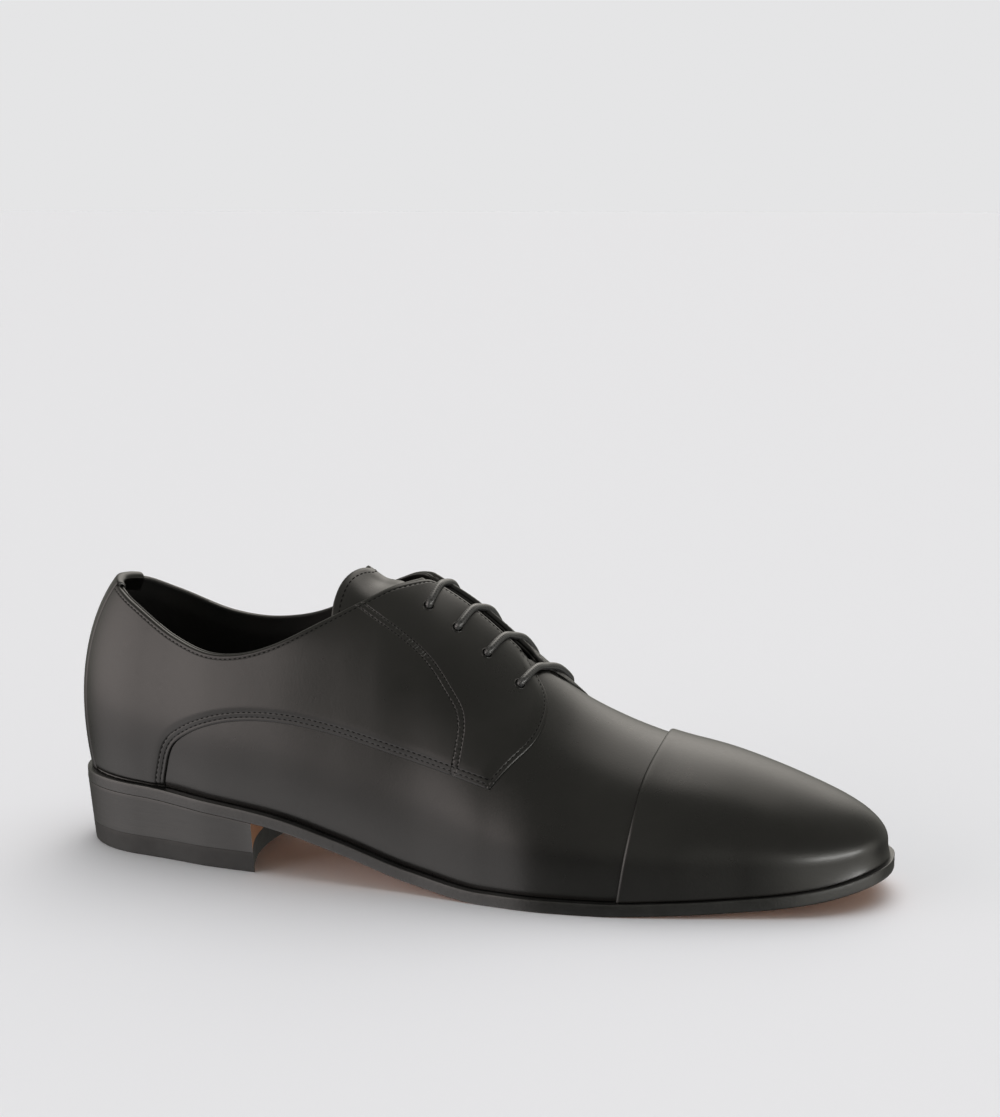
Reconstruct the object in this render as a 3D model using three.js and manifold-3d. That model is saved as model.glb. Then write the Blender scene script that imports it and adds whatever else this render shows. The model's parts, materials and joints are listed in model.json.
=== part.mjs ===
// A man's right lace-up shoe: a plain derby with a toe cap and four pairs of eyelets.
// Millimetres. X runs from heel to toe, Y to the inner side of the foot, Z up from the floor.
// The outer side of the foot is called lateral, the inner side medial.

import * as THREE from 'three';
import { mergeVertices } from 'three/addons/utils/BufferGeometryUtils.js';
import Module from 'manifold-3d';

const wasm = await Module();
wasm.setup();

// Driving sizes of the last and the sole
const soleLength = 301;
const ballWidth = 98;
const instepHeight = 106;
const heelHeight = 23;
const toeSpring = 9.5;
const soleThickness = 4.4;
const soleEdgeRound = 0.8;
const soleLedge = 3;
const heelEndRound = 40;
const toeEndRound = 58;

// How the ribs of the last lean together over the heel and the toe
const heelFan = 32;
const heelFanReach = 72;
const toeFan = 19;
const toeFanReach = 56;

// Heel
const breastPlace = 78;
const breastHollow = 7;
const heelSeatInset = 0.3;
const heelTaper = 2.2;
const topPieceThickness = 7.6;

// Leather and lining
const upperWall = 2.2;
const overlayWall = 1.3;
const backStripWall = 1.7;
const backStripTopWidth = 19;
const backStripFootWidth = 30;
const throatGap = 8;
const insoleThickness = 2.6;
const insoleEdgeGap = 1.8;
const tongueThickness = 1.8;

// Lace and its holes
const laceDiameter = 2.8;
const laceClearance = 0.4;
const laceBend = 2;
const laceMiddle = 0.55;

// The gap between pieces that touch
const clearance = 0.3;

// Heights over the last of the lace lying on the quarters and of its ends inside the upper's wall
const laceHeight = 2 * clearance + overlayWall + laceDiameter / 2;
const laceEndDepth = 0.1 * upperWall - upperWall;

// Sections across the sole. Half widths are shares of the ball width. The underside's height is
// a share of the heel height plus a share of the toe spring.
const soleSections = [
  { at: 0.00, lateral: 0.305, medial: 0.315, heel: 1.02, spring: 0.00 },
  { at: 0.10, lateral: 0.305, medial: 0.322, heel: 1.00, spring: 0.00 },
  { at: 0.20, lateral: 0.362, medial: 0.335, heel: 0.90, spring: 0.00 },
  { at: 0.28, lateral: 0.388, medial: 0.305, heel: 0.78, spring: 0.00 },
  { at: 0.37, lateral: 0.412, medial: 0.272, heel: 0.50, spring: 0.00 },
  { at: 0.46, lateral: 0.440, medial: 0.285, heel: 0.17, spring: 0.00 },
  { at: 0.55, lateral: 0.485, medial: 0.355, heel: 0.00, spring: 0.00 },
  { at: 0.62, lateral: 0.508, medial: 0.425, heel: 0.00, spring: 0.00 },
  { at: 0.68, lateral: 0.498, medial: 0.464, heel: 0.00, spring: 0.00 },
  { at: 0.77, lateral: 0.448, medial: 0.462, heel: 0.00, spring: 0.10 },
  { at: 0.85, lateral: 0.392, medial: 0.405, heel: 0.00, spring: 0.26 },
  { at: 0.92, lateral: 0.372, medial: 0.372, heel: 0.00, spring: 0.50 },
  { at: 1.00, lateral: 0.360, medial: 0.360, heel: 0.00, spring: 1.00 },
];

// The ridge of the last, its height over the floor as a share of the instep height. Behind the
// top edge it goes on over the open collar, where only its side walls are used.
const ridgeSections = [
  { at: 0.10, height: 1.035 },
  { at: 0.20, height: 1.030 },
  { at: 0.33, height: 1.045 },
  { at: 0.41, height: 1.030 },
  { at: 0.46, height: 0.958 },
  { at: 0.49, height: 0.908 },
  { at: 0.52, height: 0.844 },
  { at: 0.55, height: 0.772 },
  { at: 0.59, height: 0.676 },
  { at: 0.64, height: 0.580 },
  { at: 0.69, height: 0.515 },
  { at: 0.74, height: 0.469 },
  { at: 0.81, height: 0.426 },
  { at: 0.87, height: 0.374 },
  { at: 0.93, height: 0.309 },
  { at: 0.97, height: 0.262 },
];

// How the side walls swell past the sole's edge: outward as shares of the ball width, the height
// of the widest place over the sole as a share of the instep height, and the fullness of the
// curve from there to the ridge, where 2 is an ellipse and more is squarer.
const sideSections = [
  { at: 0.00, lateral: 0.024, medial: 0.024, height: 0.23, fullness: 2.00 },
  { at: 0.12, lateral: 0.018, medial: 0.018, height: 0.19, fullness: 2.00 },
  { at: 0.30, lateral: 0.016, medial: 0.034, height: 0.17, fullness: 2.00 },
  { at: 0.45, lateral: 0.012, medial: 0.042, height: 0.16, fullness: 2.00 },
  { at: 0.60, lateral: 0.008, medial: 0.014, height: 0.13, fullness: 1.95 },
  { at: 0.75, lateral: 0.004, medial: 0.004, height: 0.11, fullness: 2.00 },
  { at: 0.90, lateral: 0.000, medial: 0.000, height: 0.08, fullness: 2.05 },
  { at: 1.00, lateral: -0.010, medial: -0.010, height: 0.05, fullness: 2.40 },
];

// Height of the top edge over the floor on each hand, as shares of the instep height.
const toplineSections = [
  { at: -0.03, lateral: 0.925, medial: 0.925 },
  { at: 0.045, lateral: 0.930, medial: 0.926 },
  { at: 0.09, lateral: 0.877, medial: 0.865 },
  { at: 0.15, lateral: 0.785, medial: 0.787 },
  { at: 0.20, lateral: 0.742, medial: 0.762 },
  { at: 0.24, lateral: 0.746, medial: 0.770 },
  { at: 0.28, lateral: 0.780, medial: 0.799 },
  { at: 0.34, lateral: 0.866, medial: 0.878 },
  { at: 0.39, lateral: 0.940, medial: 0.945 },
  { at: 0.42, lateral: 0.979, medial: 0.979 },
  { at: 0.45, lateral: 0.988, medial: 0.988 },
  { at: 0.48, lateral: 0.975, medial: 0.975 },
  { at: 0.52, lateral: 0.935, medial: 0.935 },
];

// Lower seam of a quarter seen from the side: shares of the sole length and the instep height.
const quarterSeam = [
  { at: 0.138, height: 0.285 },
  { at: 0.152, height: 0.407 },
  { at: 0.174, height: 0.460 },
  { at: 0.209, height: 0.503 },
  { at: 0.248, height: 0.526 },
  { at: 0.300, height: 0.531 },
  { at: 0.362, height: 0.509 },
  { at: 0.448, height: 0.453 },
  { at: 0.560, height: 0.376 },
  { at: 0.700, height: 0.270 },
];

// Front edge of each quarter seen from above: its place on each hand as shares of the sole length,
// by its distance from the middle as shares of the ball width.
const quarterFront = [
  { out: 0.045, lateral: 0.572, medial: 0.598 },
  { out: 0.085, lateral: 0.585, medial: 0.612 },
  { out: 0.140, lateral: 0.600, medial: 0.624 },
  { out: 0.190, lateral: 0.607, medial: 0.628 },
  { out: 0.260, lateral: 0.609, medial: 0.628 },
  { out: 0.325, lateral: 0.605, medial: 0.621 },
  { out: 0.372, lateral: 0.596, medial: 0.610 },
  { out: 0.428, lateral: 0.574, medial: 0.590 },
  { out: 0.475, lateral: 0.540, medial: 0.558 },
];

// Eyelets from the top down: their place on each hand as shares of the sole length, and their
// distance from the middle as a share of the ball width. The inner row sits further forward.
const eyelets = [
  { lateral: 0.458, medial: 0.466, out: 0.163 },
  { lateral: 0.494, medial: 0.516, out: 0.178 },
  { lateral: 0.530, medial: 0.558, out: 0.190 },
  { lateral: 0.570, medial: 0.600, out: 0.203 },
];

// Seam of the toe cap seen from the side: shares of the sole length and the instep height.
const capSeam = [
  { at: 0.702, height: 0.000 },
  { at: 0.712, height: 0.180 },
  { at: 0.719, height: 0.310 },
  { at: 0.724, height: 0.420 },
  { at: 0.734, height: 0.500 },
  { at: 0.745, height: 0.600 },
];

// Edge of the tongue seen from above, from the middle of its free end round to its front:
// shares of the sole length and the ball width.
const tongueEdge = [
  { at: 0.371, out: 0.000 },
  { at: 0.360, out: 0.070 },
  { at: 0.351, out: 0.125 },
  { at: 0.346, out: 0.180 },
  { at: 0.345, out: 0.240 },
  { at: 0.352, out: 0.300 },
  { at: 0.375, out: 0.330 },
  { at: 0.500, out: 0.295 },
  { at: 0.620, out: 0.255 },
];

// Where the throat begins and ends along the sole
const throatBack = 0.38;
const throatFront = 0.56;

// How finely the surfaces are divided
const stations = 34;
const bulgeSteps = 2;
const ribSteps = 10;
const laceSides = 8;
const laceSteps = 20;
const curveSteps = 4;
const holeSides = 12;
const breastSides = 120;

const hands = { lateral: -1, medial: 1 };

// Reads one column of a table as a smooth curve through its rows, without overshoot.
function column(table, name) {
  const slope = (i) => (table[i + 1][name] - table[i][name]) / (table[i + 1].at - table[i].at);
  const rate = (i) => {
    const before = slope(Math.max(i - 1, 0));
    const after = slope(Math.min(i, table.length - 2));
    return before * after > 0 ? (2 * before * after) / (before + after) : 0;
  };
  return (at) => {
    const share = THREE.MathUtils.clamp(at, table[0].at, table[table.length - 1].at);
    let i = 0;
    while (i < table.length - 2 && share > table[i + 1].at) i += 1;
    const from = table[i];
    const to = table[i + 1];
    const span = to.at - from.at;
    const t = (share - from.at) / span;
    const rise = (to[name] - from[name]) * t * t * (3 - 2 * t);
    const sway = span * t * (1 - t) * ((1 - t) * rate(i) - t * rate(i + 1));
    return from[name] + rise + sway;
  };
}

function columns(table) {
  const names = Object.keys(table[0]).filter((name) => name !== 'at');
  return Object.fromEntries(names.map((name) => [name, column(table, name)]));
}

const sole = columns(soleSections);
const ridge = columns(ridgeSections);
const side = columns(sideSections);

// The last

// The round end of an outline: 0 at the tip, 1 where its long side begins.
function endRound(distance, reach, power) {
  const q = THREE.MathUtils.clamp(distance / reach, 0, 1);
  return (1 - (1 - q) ** power) ** (1 / power);
}

const heelRoundPower = 2.1;
const toeRoundPower = 2.25;

function soleHalfWidth(x, hand) {
  const share = hand < 0 ? sole.lateral(x / soleLength) : sole.medial(x / soleLength);
  const heelEnd = endRound(x, heelEndRound, heelRoundPower);
  const toeEnd = endRound(soleLength - x, toeEndRound, toeRoundPower);
  return ballWidth * share * heelEnd * toeEnd;
}

function undersideHeight(x) {
  const at = x / soleLength;
  return heelHeight * sole.heel(at) + toeSpring * sole.spring(at);
}

function soleTop(x) {
  return undersideHeight(x) + soleThickness;
}

// A rib of the last runs from the sole's edge up to the ridge. Along counts ribs from the heel
// to the toe, across counts up a rib, both from 0 to 1. Ribs crowd towards both ends.
const endCrowding = 0.85;
const bulgeShare = 0.22;

function stationPlace(along) {
  const eased = (1 - Math.cos(Math.PI * along)) / 2;
  return eased * endCrowding + along * (1 - endCrowding);
}

function ribFootX(along) {
  return soleLedge + (soleLength - 2 * soleLedge) * stationPlace(along);
}

function ribFoot(along, hand) {
  const halfWidth = soleHalfWidth(soleLength * stationPlace(along), hand);
  const ledge = soleLedge * (1 - Math.exp(-halfWidth / (2 * soleLedge)));
  const x = ribFootX(along);
  return new THREE.Vector3(x, hand * (halfWidth - ledge), soleTop(x) + clearance);
}

function ribTop(along) {
  const x = ribFootX(along);
  const nearHeel = Math.max(1 - (x - soleLedge) / heelFanReach, 0);
  const nearToe = Math.max(1 - (soleLength - soleLedge - x) / toeFanReach, 0);
  const ridgeX = x + heelFan * nearHeel ** 2 - toeFan * nearToe ** 2;
  return new THREE.Vector3(ridgeX, 0, instepHeight * ridge.height(ridgeX / soleLength));
}

// How much a rib rises, for each millimetre inwards, where it meets the ridge
function ribLean(foot, top, reach) {
  const rise = ridge.height((top.x + 1) / soleLength) - ridge.height((top.x - 1) / soleLength);
  const slope = (instepHeight * rise) / 2;
  return (slope * (top.x - foot.x)) / reach;
}

function lastPoint(along, across, hand) {
  const foot = ribFoot(along, hand);
  const top = ribTop(along);
  const at = stationPlace(along);
  const bulge = ballWidth * (hand < 0 ? side.lateral(at) : side.medial(at));
  const bulgeHeight = instepHeight * side.height(at);
  const reach = Math.hypot(top.x - foot.x, top.y - foot.y);
  let inward;
  let height;
  if (across < bulgeShare) {
    const t = across / bulgeShare;
    inward = -bulge * (1 - (1 - t) ** 2);
    height = bulgeHeight * t;
  } else {
    const angle = ((across - bulgeShare) / (1 - bulgeShare)) * (Math.PI / 2);
    const power = 2 / side.fullness(at);
    inward = -bulge + (reach + bulge) * (1 - Math.cos(angle) ** power);
    const leaned = ribLean(foot, top, reach) * (inward + bulge);
    const leanedTop = ribLean(foot, top, reach) * (reach + bulge);
    const rise = top.z - foot.z - bulgeHeight - leanedTop;
    height = bulgeHeight + leaned + rise * Math.sin(angle) ** power;
  }
  const x = THREE.MathUtils.lerp(foot.x, top.x, inward / reach);
  const y = THREE.MathUtils.lerp(foot.y, top.y, inward / reach);
  return new THREE.Vector3(x, y, foot.z + height);
}

function handNormal(along, across, hand) {
  const step = 1e-3;
  const after = (value) => Math.min(value + step, 1);
  const before = (value) => Math.max(value - step, 0);
  const alongWay = lastPoint(after(along), across, hand).sub(lastPoint(before(along), across, hand));
  const acrossWay = lastPoint(along, after(across), hand).sub(lastPoint(along, before(across), hand));
  return acrossWay.cross(alongWay).multiplyScalar(hand).normalize();
}

// Where the two hands meet, at the heel, the toe and the ridge, they share one direction.
function lastNormal(along, across, hand) {
  const normal = handNormal(along, across, hand);
  const atEnd = along === 0 || along === 1;
  if (atEnd || across === 1) normal.add(handNormal(along, across, -hand));
  if (atEnd) normal.y = 0;
  if (across === 0) normal.z = 0;
  return normal.normalize();
}

// A point at a distance off the last, outwards when positive. The foot of every layer stays just
// over the sole.
function offLast(along, across, hand, distance) {
  const point = lastPoint(along, across, hand);
  point.addScaledVector(lastNormal(along, across, hand), distance);
  if (across === 0) point.z = soleTop(point.x) + clearance;
  return point;
}

// The value between low and high where a rising measure reaches its goal.
function solve(measure, goal, low, high) {
  let from = low;
  let to = high;
  for (let i = 0; i < 40; i += 1) {
    const middle = (from + to) / 2;
    if (measure(middle) < goal) from = middle;
    else to = middle;
  }
  return (from + to) / 2;
}

// Finds the rib and the place on it for a point of the upper half seen from above.
function lastPlace(x, out, hand) {
  const along = solve(ribFootX, x, 0, 1);
  const inwards = (across) => -Math.abs(lastPoint(along, across, hand).y);
  return { along, across: solve(inwards, -out, bulgeShare, 1) };
}

// Solids

function geometryFrom(positions) {
  const geometry = new THREE.BufferGeometry();
  geometry.setAttribute('position', new THREE.Float32BufferAttribute(positions, 3));
  return geometry;
}

function solidOf(geometry) {
  const bare = geometry.clone();
  bare.deleteAttribute('normal');
  bare.deleteAttribute('uv');
  const merged = mergeVertices(bare, 1e-4);
  const corners = Array.from(merged.index.array);
  const kept = [];
  for (let i = 0; i < corners.length; i += 3) {
    const [a, b, c] = corners.slice(i, i + 3);
    if (a !== b && b !== c && c !== a) kept.push(a, b, c);
  }
  return new wasm.Manifold(new wasm.Mesh({
    numProp: 3,
    vertProperties: new Float32Array(merged.attributes.position.array),
    triVerts: new Uint32Array(kept),
  }));
}

function geometryOf(solid) {
  const mesh = solid.getMesh();
  const geometry = new THREE.BufferGeometry();
  geometry.setAttribute('position', new THREE.BufferAttribute(mesh.vertProperties, 3));
  geometry.setIndex(new THREE.BufferAttribute(mesh.triVerts, 1));
  return geometry;
}

function faceWriter(positions, turned) {
  return (a, b, c, d) => {
    const corners = turned ? [a, d, c, b] : [a, b, c, d];
    for (const k of [0, 1, 2, 0, 2, 3]) positions.push(...corners[k].toArray());
  };
}

function acrossAt(step) {
  if (step <= bulgeSteps) return (bulgeShare * step) / bulgeSteps;
  return bulgeShare + ((1 - bulgeShare) * (step - bulgeSteps)) / (ribSteps - bulgeSteps);
}

// A shell between two distances off the last, closed over the ridge and open underneath.
function lastShell(innerDistance, outerDistance) {
  const positions = [];
  for (const hand of Object.values(hands)) {
    const face = faceWriter(positions, hand > 0);
    const point = (i, j, distance) => offLast(i / stations, acrossAt(j), hand, distance);
    const patch = (i, j, distance) => [
      point(i, j, distance),
      point(i + 1, j, distance),
      point(i + 1, j + 1, distance),
      point(i, j + 1, distance),
    ];
    for (let i = 0; i < stations; i += 1) {
      for (let j = 0; j < ribSteps; j += 1) {
        const [a, b, c, d] = patch(i, j, innerDistance);
        face(a, d, c, b);
        face(...patch(i, j, outerDistance));
      }
      const inner = [point(i, 0, innerDistance), point(i + 1, 0, innerDistance)];
      face(...inner, point(i + 1, 0, outerDistance), point(i, 0, outerDistance));
    }
  }
  return solidOf(geometryFrom(positions));
}

// A point of the sole's outline, moved inwards by the inset.
function outlinePoint(place, hand, inset) {
  const edge = (share) => new THREE.Vector2(
    soleLength * share,
    hand * soleHalfWidth(soleLength * share, hand),
  );
  if (place <= 0) return new THREE.Vector2(inset, 0);
  if (place >= 1) return new THREE.Vector2(soleLength - inset, 0);
  const step = Math.min(1e-3, place / 2, (1 - place) / 2);
  const way = edge(place + step).sub(edge(place - step)).normalize();
  return edge(place).add(new THREE.Vector2(hand * way.y, -hand * way.x).multiplyScalar(inset));
}

// A slab with the sole's outline as far as the end share. Its layers, from the bottom up, each
// have an inset from the outline and a height.
function soleSlab(layers, end) {
  const positions = [];
  const point = (i, hand, layer) => {
    const flat = outlinePoint(stationPlace(i / stations) * end, hand, layer.inset);
    return new THREE.Vector3(flat.x, flat.y, layer.height(flat.x));
  };
  const lid = (layer, turned) => {
    const face = faceWriter(positions, turned);
    for (let i = 0; i < stations; i += 1) {
      face(point(i, -1, layer), point(i + 1, -1, layer), point(i + 1, 1, layer), point(i, 1, layer));
    }
  };
  for (let k = 0; k < layers.length - 1; k += 1) {
    const below = layers[k];
    const over = layers[k + 1];
    for (const hand of Object.values(hands)) {
      const face = faceWriter(positions, hand > 0);
      for (let i = 0; i < stations; i += 1) {
        face(point(i, hand, below), point(i + 1, hand, below), point(i + 1, hand, over), point(i, hand, over));
      }
    }
    const closing = [point(stations, -1, below), point(stations, 1, below)];
    faceWriter(positions, false)(...closing, point(stations, 1, over), point(stations, -1, over));
  }
  lid(layers[0], true);
  lid(layers[layers.length - 1], false);
  return solidOf(geometryFrom(positions));
}

// Cutters. Above and beside reach past every piece.
const above = 1.4 * instepHeight;
const beside = 0.8 * ballWidth;
const behind = -0.1 * soleLength;
const ahead = 1.1 * soleLength;
const lowestTongue = 0.42 * instepHeight;
const stripTurn = 0.75;

function sidePrism(shape, fromY, toY) {
  const options = { depth: toY - fromY, bevelEnabled: false, curveSegments: curveSteps };
  const prism = new THREE.ExtrudeGeometry(shape, options);
  prism.rotateX(Math.PI / 2);
  prism.translate(0, toY, 0);
  return solidOf(prism);
}

function planPrism(shape, fromZ, toZ) {
  const options = { depth: toZ - fromZ, bevelEnabled: false, curveSegments: curveSteps };
  const prism = new THREE.ExtrudeGeometry(shape, options);
  prism.translate(0, 0, fromZ);
  return solidOf(prism);
}

function sidePoints(table, name) {
  return table.map((row) => new THREE.Vector2(soleLength * row.at, instepHeight * row[name]));
}

// Everything over the top edge on one hand
function overTopline(hand) {
  const points = sidePoints(toplineSections, hand < 0 ? 'lateral' : 'medial');
  const shape = new THREE.Shape();
  shape.moveTo(points[0].x, above);
  shape.lineTo(points[0].x, points[0].y);
  shape.splineThru(points.slice(1));
  shape.lineTo(points[points.length - 1].x, above);
  shape.closePath();
  return hand < 0 ? sidePrism(shape, -beside, 0) : sidePrism(shape, 0, beside);
}

function throatSlot() {
  const half = throatGap / 2;
  const back = throatBack * soleLength;
  const front = throatFront * soleLength;
  const shape = new THREE.Shape();
  shape.moveTo(back, -half);
  shape.lineTo(front, -half);
  shape.absarc(front, 0, half, -Math.PI / 2, Math.PI / 2, false);
  shape.lineTo(back, half);
  shape.closePath();
  return planPrism(shape, 0.5 * instepHeight, above);
}

// The side view of both quarters: what lies over their lower seam
function quarterSide() {
  const points = sidePoints(quarterSeam, 'height');
  const shape = new THREE.Shape();
  shape.moveTo(behind, 0);
  shape.lineTo(points[0].x, 0);
  shape.lineTo(points[0].x, points[0].y);
  shape.splineThru(points.slice(1));
  shape.lineTo(points[points.length - 1].x, above);
  shape.lineTo(behind, above);
  shape.closePath();
  return sidePrism(shape, -beside, beside);
}

// The plan of one quarter: from the throat's edge out round its front edge
function quarterPlan(name) {
  const points = quarterFront.map((row) => new THREE.Vector2(soleLength * row[name], ballWidth * row.out));
  const inner = throatGap / 2;
  const shape = new THREE.Shape();
  shape.moveTo(behind, inner);
  shape.lineTo(points[0].x - inner, inner);
  shape.splineThru(points);
  shape.lineTo(points[points.length - 1].x, beside);
  shape.lineTo(behind, beside);
  shape.closePath();
  const options = { depth: above, bevelEnabled: false, curveSegments: curveSteps };
  const prism = new THREE.ExtrudeGeometry(shape, options);
  if (hands[name] < 0) prism.rotateX(Math.PI).translate(0, 0, above);
  return solidOf(prism);
}

const stripDepth = 0.5 * throatBack * soleLength;

// The back strip seen from behind, wider at its foot, with an allowance round it
function stripPrism(allowance) {
  const foot = backStripFootWidth / 2 + allowance;
  const top = backStripTopWidth / 2 + allowance;
  const height = instepHeight * toplineSections[0].lateral;
  const shape = new THREE.Shape();
  shape.moveTo(-foot, 0);
  shape.lineTo(foot, 0);
  shape.quadraticCurveTo(foot, stripTurn * height, top, height);
  shape.lineTo(top, above);
  shape.lineTo(-top, above);
  shape.lineTo(-top, height);
  shape.quadraticCurveTo(-foot, stripTurn * height, -foot, 0);
  shape.closePath();
  const depth = stripDepth - behind;
  const prism = new THREE.ExtrudeGeometry(shape, { depth, bevelEnabled: false, curveSegments: curveSteps });
  prism.rotateX(Math.PI / 2);
  prism.rotateZ(Math.PI / 2);
  prism.translate(behind, 0, 0);
  return solidOf(prism);
}

function capSide() {
  const points = sidePoints(capSeam, 'height').reverse();
  const shape = new THREE.Shape();
  shape.moveTo(ahead, 0);
  shape.lineTo(ahead, above);
  shape.lineTo(points[0].x, above);
  shape.lineTo(points[0].x, points[0].y);
  shape.splineThru(points.slice(1));
  shape.closePath();
  return sidePrism(shape, -beside, beside);
}

function tonguePlan() {
  const edge = (hand) => tongueEdge.map((row) => (
    new THREE.Vector2(soleLength * row.at, hand * ballWidth * row.out)
  ));
  const shape = new THREE.Shape();
  const lateral = edge(hands.lateral).reverse();
  const medial = edge(hands.medial);
  shape.moveTo(lateral[0].x, lateral[0].y);
  shape.splineThru([...lateral.slice(1), ...medial.slice(1)]);
  shape.closePath();
  return planPrism(shape, lowestTongue, above);
}

function eyeletPlace(eyelet, name) {
  return lastPlace(soleLength * eyelet[name], ballWidth * eyelet.out, hands[name]);
}

const holeLength = 4 * upperWall;

// A straight round hole through the leather at an eyelet
function eyeletHole(eyelet, name) {
  const hand = hands[name];
  const { along, across } = eyeletPlace(eyelet, name);
  const radius = laceDiameter / 2 + laceClearance;
  const hole = new THREE.CylinderGeometry(radius, radius, holeLength, holeSides);
  const turn = new THREE.Quaternion();
  turn.setFromUnitVectors(new THREE.Vector3(0, 1, 0), lastNormal(along, across, hand));
  hole.applyQuaternion(turn);
  const centre = lastPoint(along, across, hand);
  hole.translate(centre.x, centre.y, centre.z);
  return solidOf(hole);
}

const collarCut = overTopline(hands.lateral).add(overTopline(hands.medial));
const holes = Object.fromEntries(Object.keys(hands).map((name) => [
  name,
  eyelets.map((eyelet) => eyeletHole(eyelet, name)).reduce((all, hole) => all.add(hole)),
]));

// Pieces

const shoe = new THREE.Group();
shoe.name = 'derby_shoe';

function addPiece(name, solid, color, roughness) {
  const material = new THREE.MeshStandardMaterial({ color, roughness, metalness: 0 });
  const mesh = new THREE.Mesh(geometryOf(solid), material);
  mesh.name = name;
  shoe.add(mesh);
}

function makeOutsole() {
  return soleSlab([
    { inset: soleEdgeRound, height: undersideHeight },
    { inset: 0, height: (x) => undersideHeight(x) + soleEdgeRound },
    { inset: 0, height: (x) => soleTop(x) - soleEdgeRound },
    { inset: soleEdgeRound, height: soleTop },
  ], 1);
}

// The heel follows the sole's outline, drawn in a little more the lower it goes.
function heelInset(z) {
  return heelSeatInset + heelTaper * (1 - z / heelHeight);
}

const heelEnd = (breastPlace + 1) / soleLength;

// The hollow front of the heel: a wide upright cylinder
function breastCylinder() {
  const halfWidth = sole.lateral(breastPlace / soleLength) * ballWidth;
  const radius = (halfWidth ** 2 + breastHollow ** 2) / (2 * breastHollow);
  const cylinder = new THREE.CylinderGeometry(radius, radius, 4 * heelHeight, breastSides);
  cylinder.rotateX(Math.PI / 2);
  cylinder.translate(breastPlace - breastHollow + radius, 0, 0);
  return solidOf(cylinder);
}

function makeHeelStack() {
  return soleSlab([
    { inset: heelInset(topPieceThickness), height: () => topPieceThickness + clearance },
    { inset: heelInset(heelHeight), height: (x) => undersideHeight(x) - clearance },
  ], heelEnd).subtract(breastCylinder());
}

function makeTopPiece() {
  return soleSlab([
    { inset: heelInset(0), height: () => 0 },
    { inset: heelInset(topPieceThickness), height: () => topPieceThickness },
  ], heelEnd).subtract(breastCylinder());
}

function makeInsole() {
  const inset = soleLedge + upperWall + insoleEdgeGap;
  return soleSlab([
    { inset, height: (x) => soleTop(x) + clearance },
    { inset, height: (x) => soleTop(x) + clearance + insoleThickness },
  ], 1);
}

function makeUpper() {
  const open = lastShell(-upperWall, 0).subtract(collarCut).subtract(throatSlot());
  return open.subtract(holes.lateral).subtract(holes.medial);
}

function makeQuarter(name) {
  const layer = lastShell(clearance, clearance + overlayWall).subtract(collarCut);
  const cut = layer.intersect(quarterSide()).intersect(quarterPlan(name));
  return cut.subtract(stripPrism(clearance)).subtract(holes[name]);
}

function makeToeCap() {
  return lastShell(clearance, clearance + overlayWall).intersect(capSide());
}

function makeBackStrip() {
  return lastShell(clearance, clearance + backStripWall).subtract(collarCut).intersect(stripPrism(0));
}

function makeTongue() {
  const outer = -upperWall - clearance;
  return lastShell(outer - tongueThickness, outer).intersect(tonguePlan());
}

// Half of a lace bar: up out of its hole, round the bend and along the leather towards the ridge
function laceHalf(eyelet, name, ridgeAlong) {
  const hand = hands[name];
  const { along, across } = eyeletPlace(eyelet, name);
  const foot = lastPoint(along, across, hand);
  const up = lastNormal(along, across, hand);
  const inward = lastPoint(ridgeAlong, 1, hand).sub(foot);
  inward.addScaledVector(up, -inward.dot(up)).normalize();
  const at = (shift, height) => foot.clone().addScaledVector(inward, shift).addScaledVector(up, height);
  const bendCorner = laceBend * (1 - Math.SQRT1_2);
  const middleAlong = THREE.MathUtils.lerp(along, ridgeAlong, laceMiddle);
  const middleAcross = THREE.MathUtils.lerp(across, 1, laceMiddle);
  return [
    at(0, laceEndDepth),
    at(0, 0),
    at(0, laceHeight - laceBend),
    at(bendCorner, laceHeight - bendCorner),
    at(laceBend, laceHeight),
    offLast(middleAlong, middleAcross, hand, laceHeight),
  ];
}

// A lace bar lies over both facings from one eyelet to the other, its ends turned down the holes.
function makeLaceBar(eyelet) {
  const places = Object.keys(hands).map((name) => eyeletPlace(eyelet, name).along);
  const ridgeAlong = (places[0] + places[1]) / 2;
  const path = new THREE.CatmullRomCurve3([
    ...laceHalf(eyelet, 'lateral', ridgeAlong),
    offLast(ridgeAlong, 1, hands.medial, laceHeight),
    ...laceHalf(eyelet, 'medial', ridgeAlong).reverse(),
  ], false, 'centripetal');
  const section = new THREE.Shape();
  section.absarc(0, 0, laceDiameter / 2, 0, 2 * Math.PI, false);
  const options = { steps: laceSteps, extrudePath: path, curveSegments: laceSides / 2 };
  return solidOf(new THREE.ExtrudeGeometry(section, { ...options, bevelEnabled: false }));
}

addPiece('outsole', makeOutsole(), 0x1a1613, 0.4);
addPiece('heel_stack', makeHeelStack(), 0x1c1714, 0.4);
addPiece('heel_top_piece', makeTopPiece(), 0x111111, 0.6);
addPiece('insole', makeInsole(), 0x1b1916, 0.6);
addPiece('upper', makeUpper(), 0x151515, 0.3);
addPiece('tongue', makeTongue(), 0x171717, 0.4);
addPiece('toe_cap', makeToeCap(), 0x141414, 0.25);
addPiece('quarter_lateral', makeQuarter('lateral'), 0x1e1d1c, 0.3);
addPiece('quarter_medial', makeQuarter('medial'), 0x1e1d1c, 0.3);
addPiece('back_strip', makeBackStrip(), 0x1c1b1a, 0.35);
eyelets.forEach((eyelet, i) => addPiece(`lace_bar_${i + 1}`, makeLaceBar(eyelet), 0x0d0d0d, 0.6));

// The origin is the middle of the heel's face on the floor.
shoe.position.x = -breastPlace / 2;

export default shoe;
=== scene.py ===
"""The looks of a right lace-up shoe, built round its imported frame.

Sizes are in millimetres, as in the part's source, and become metres when a mesh is laid.
"""

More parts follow.
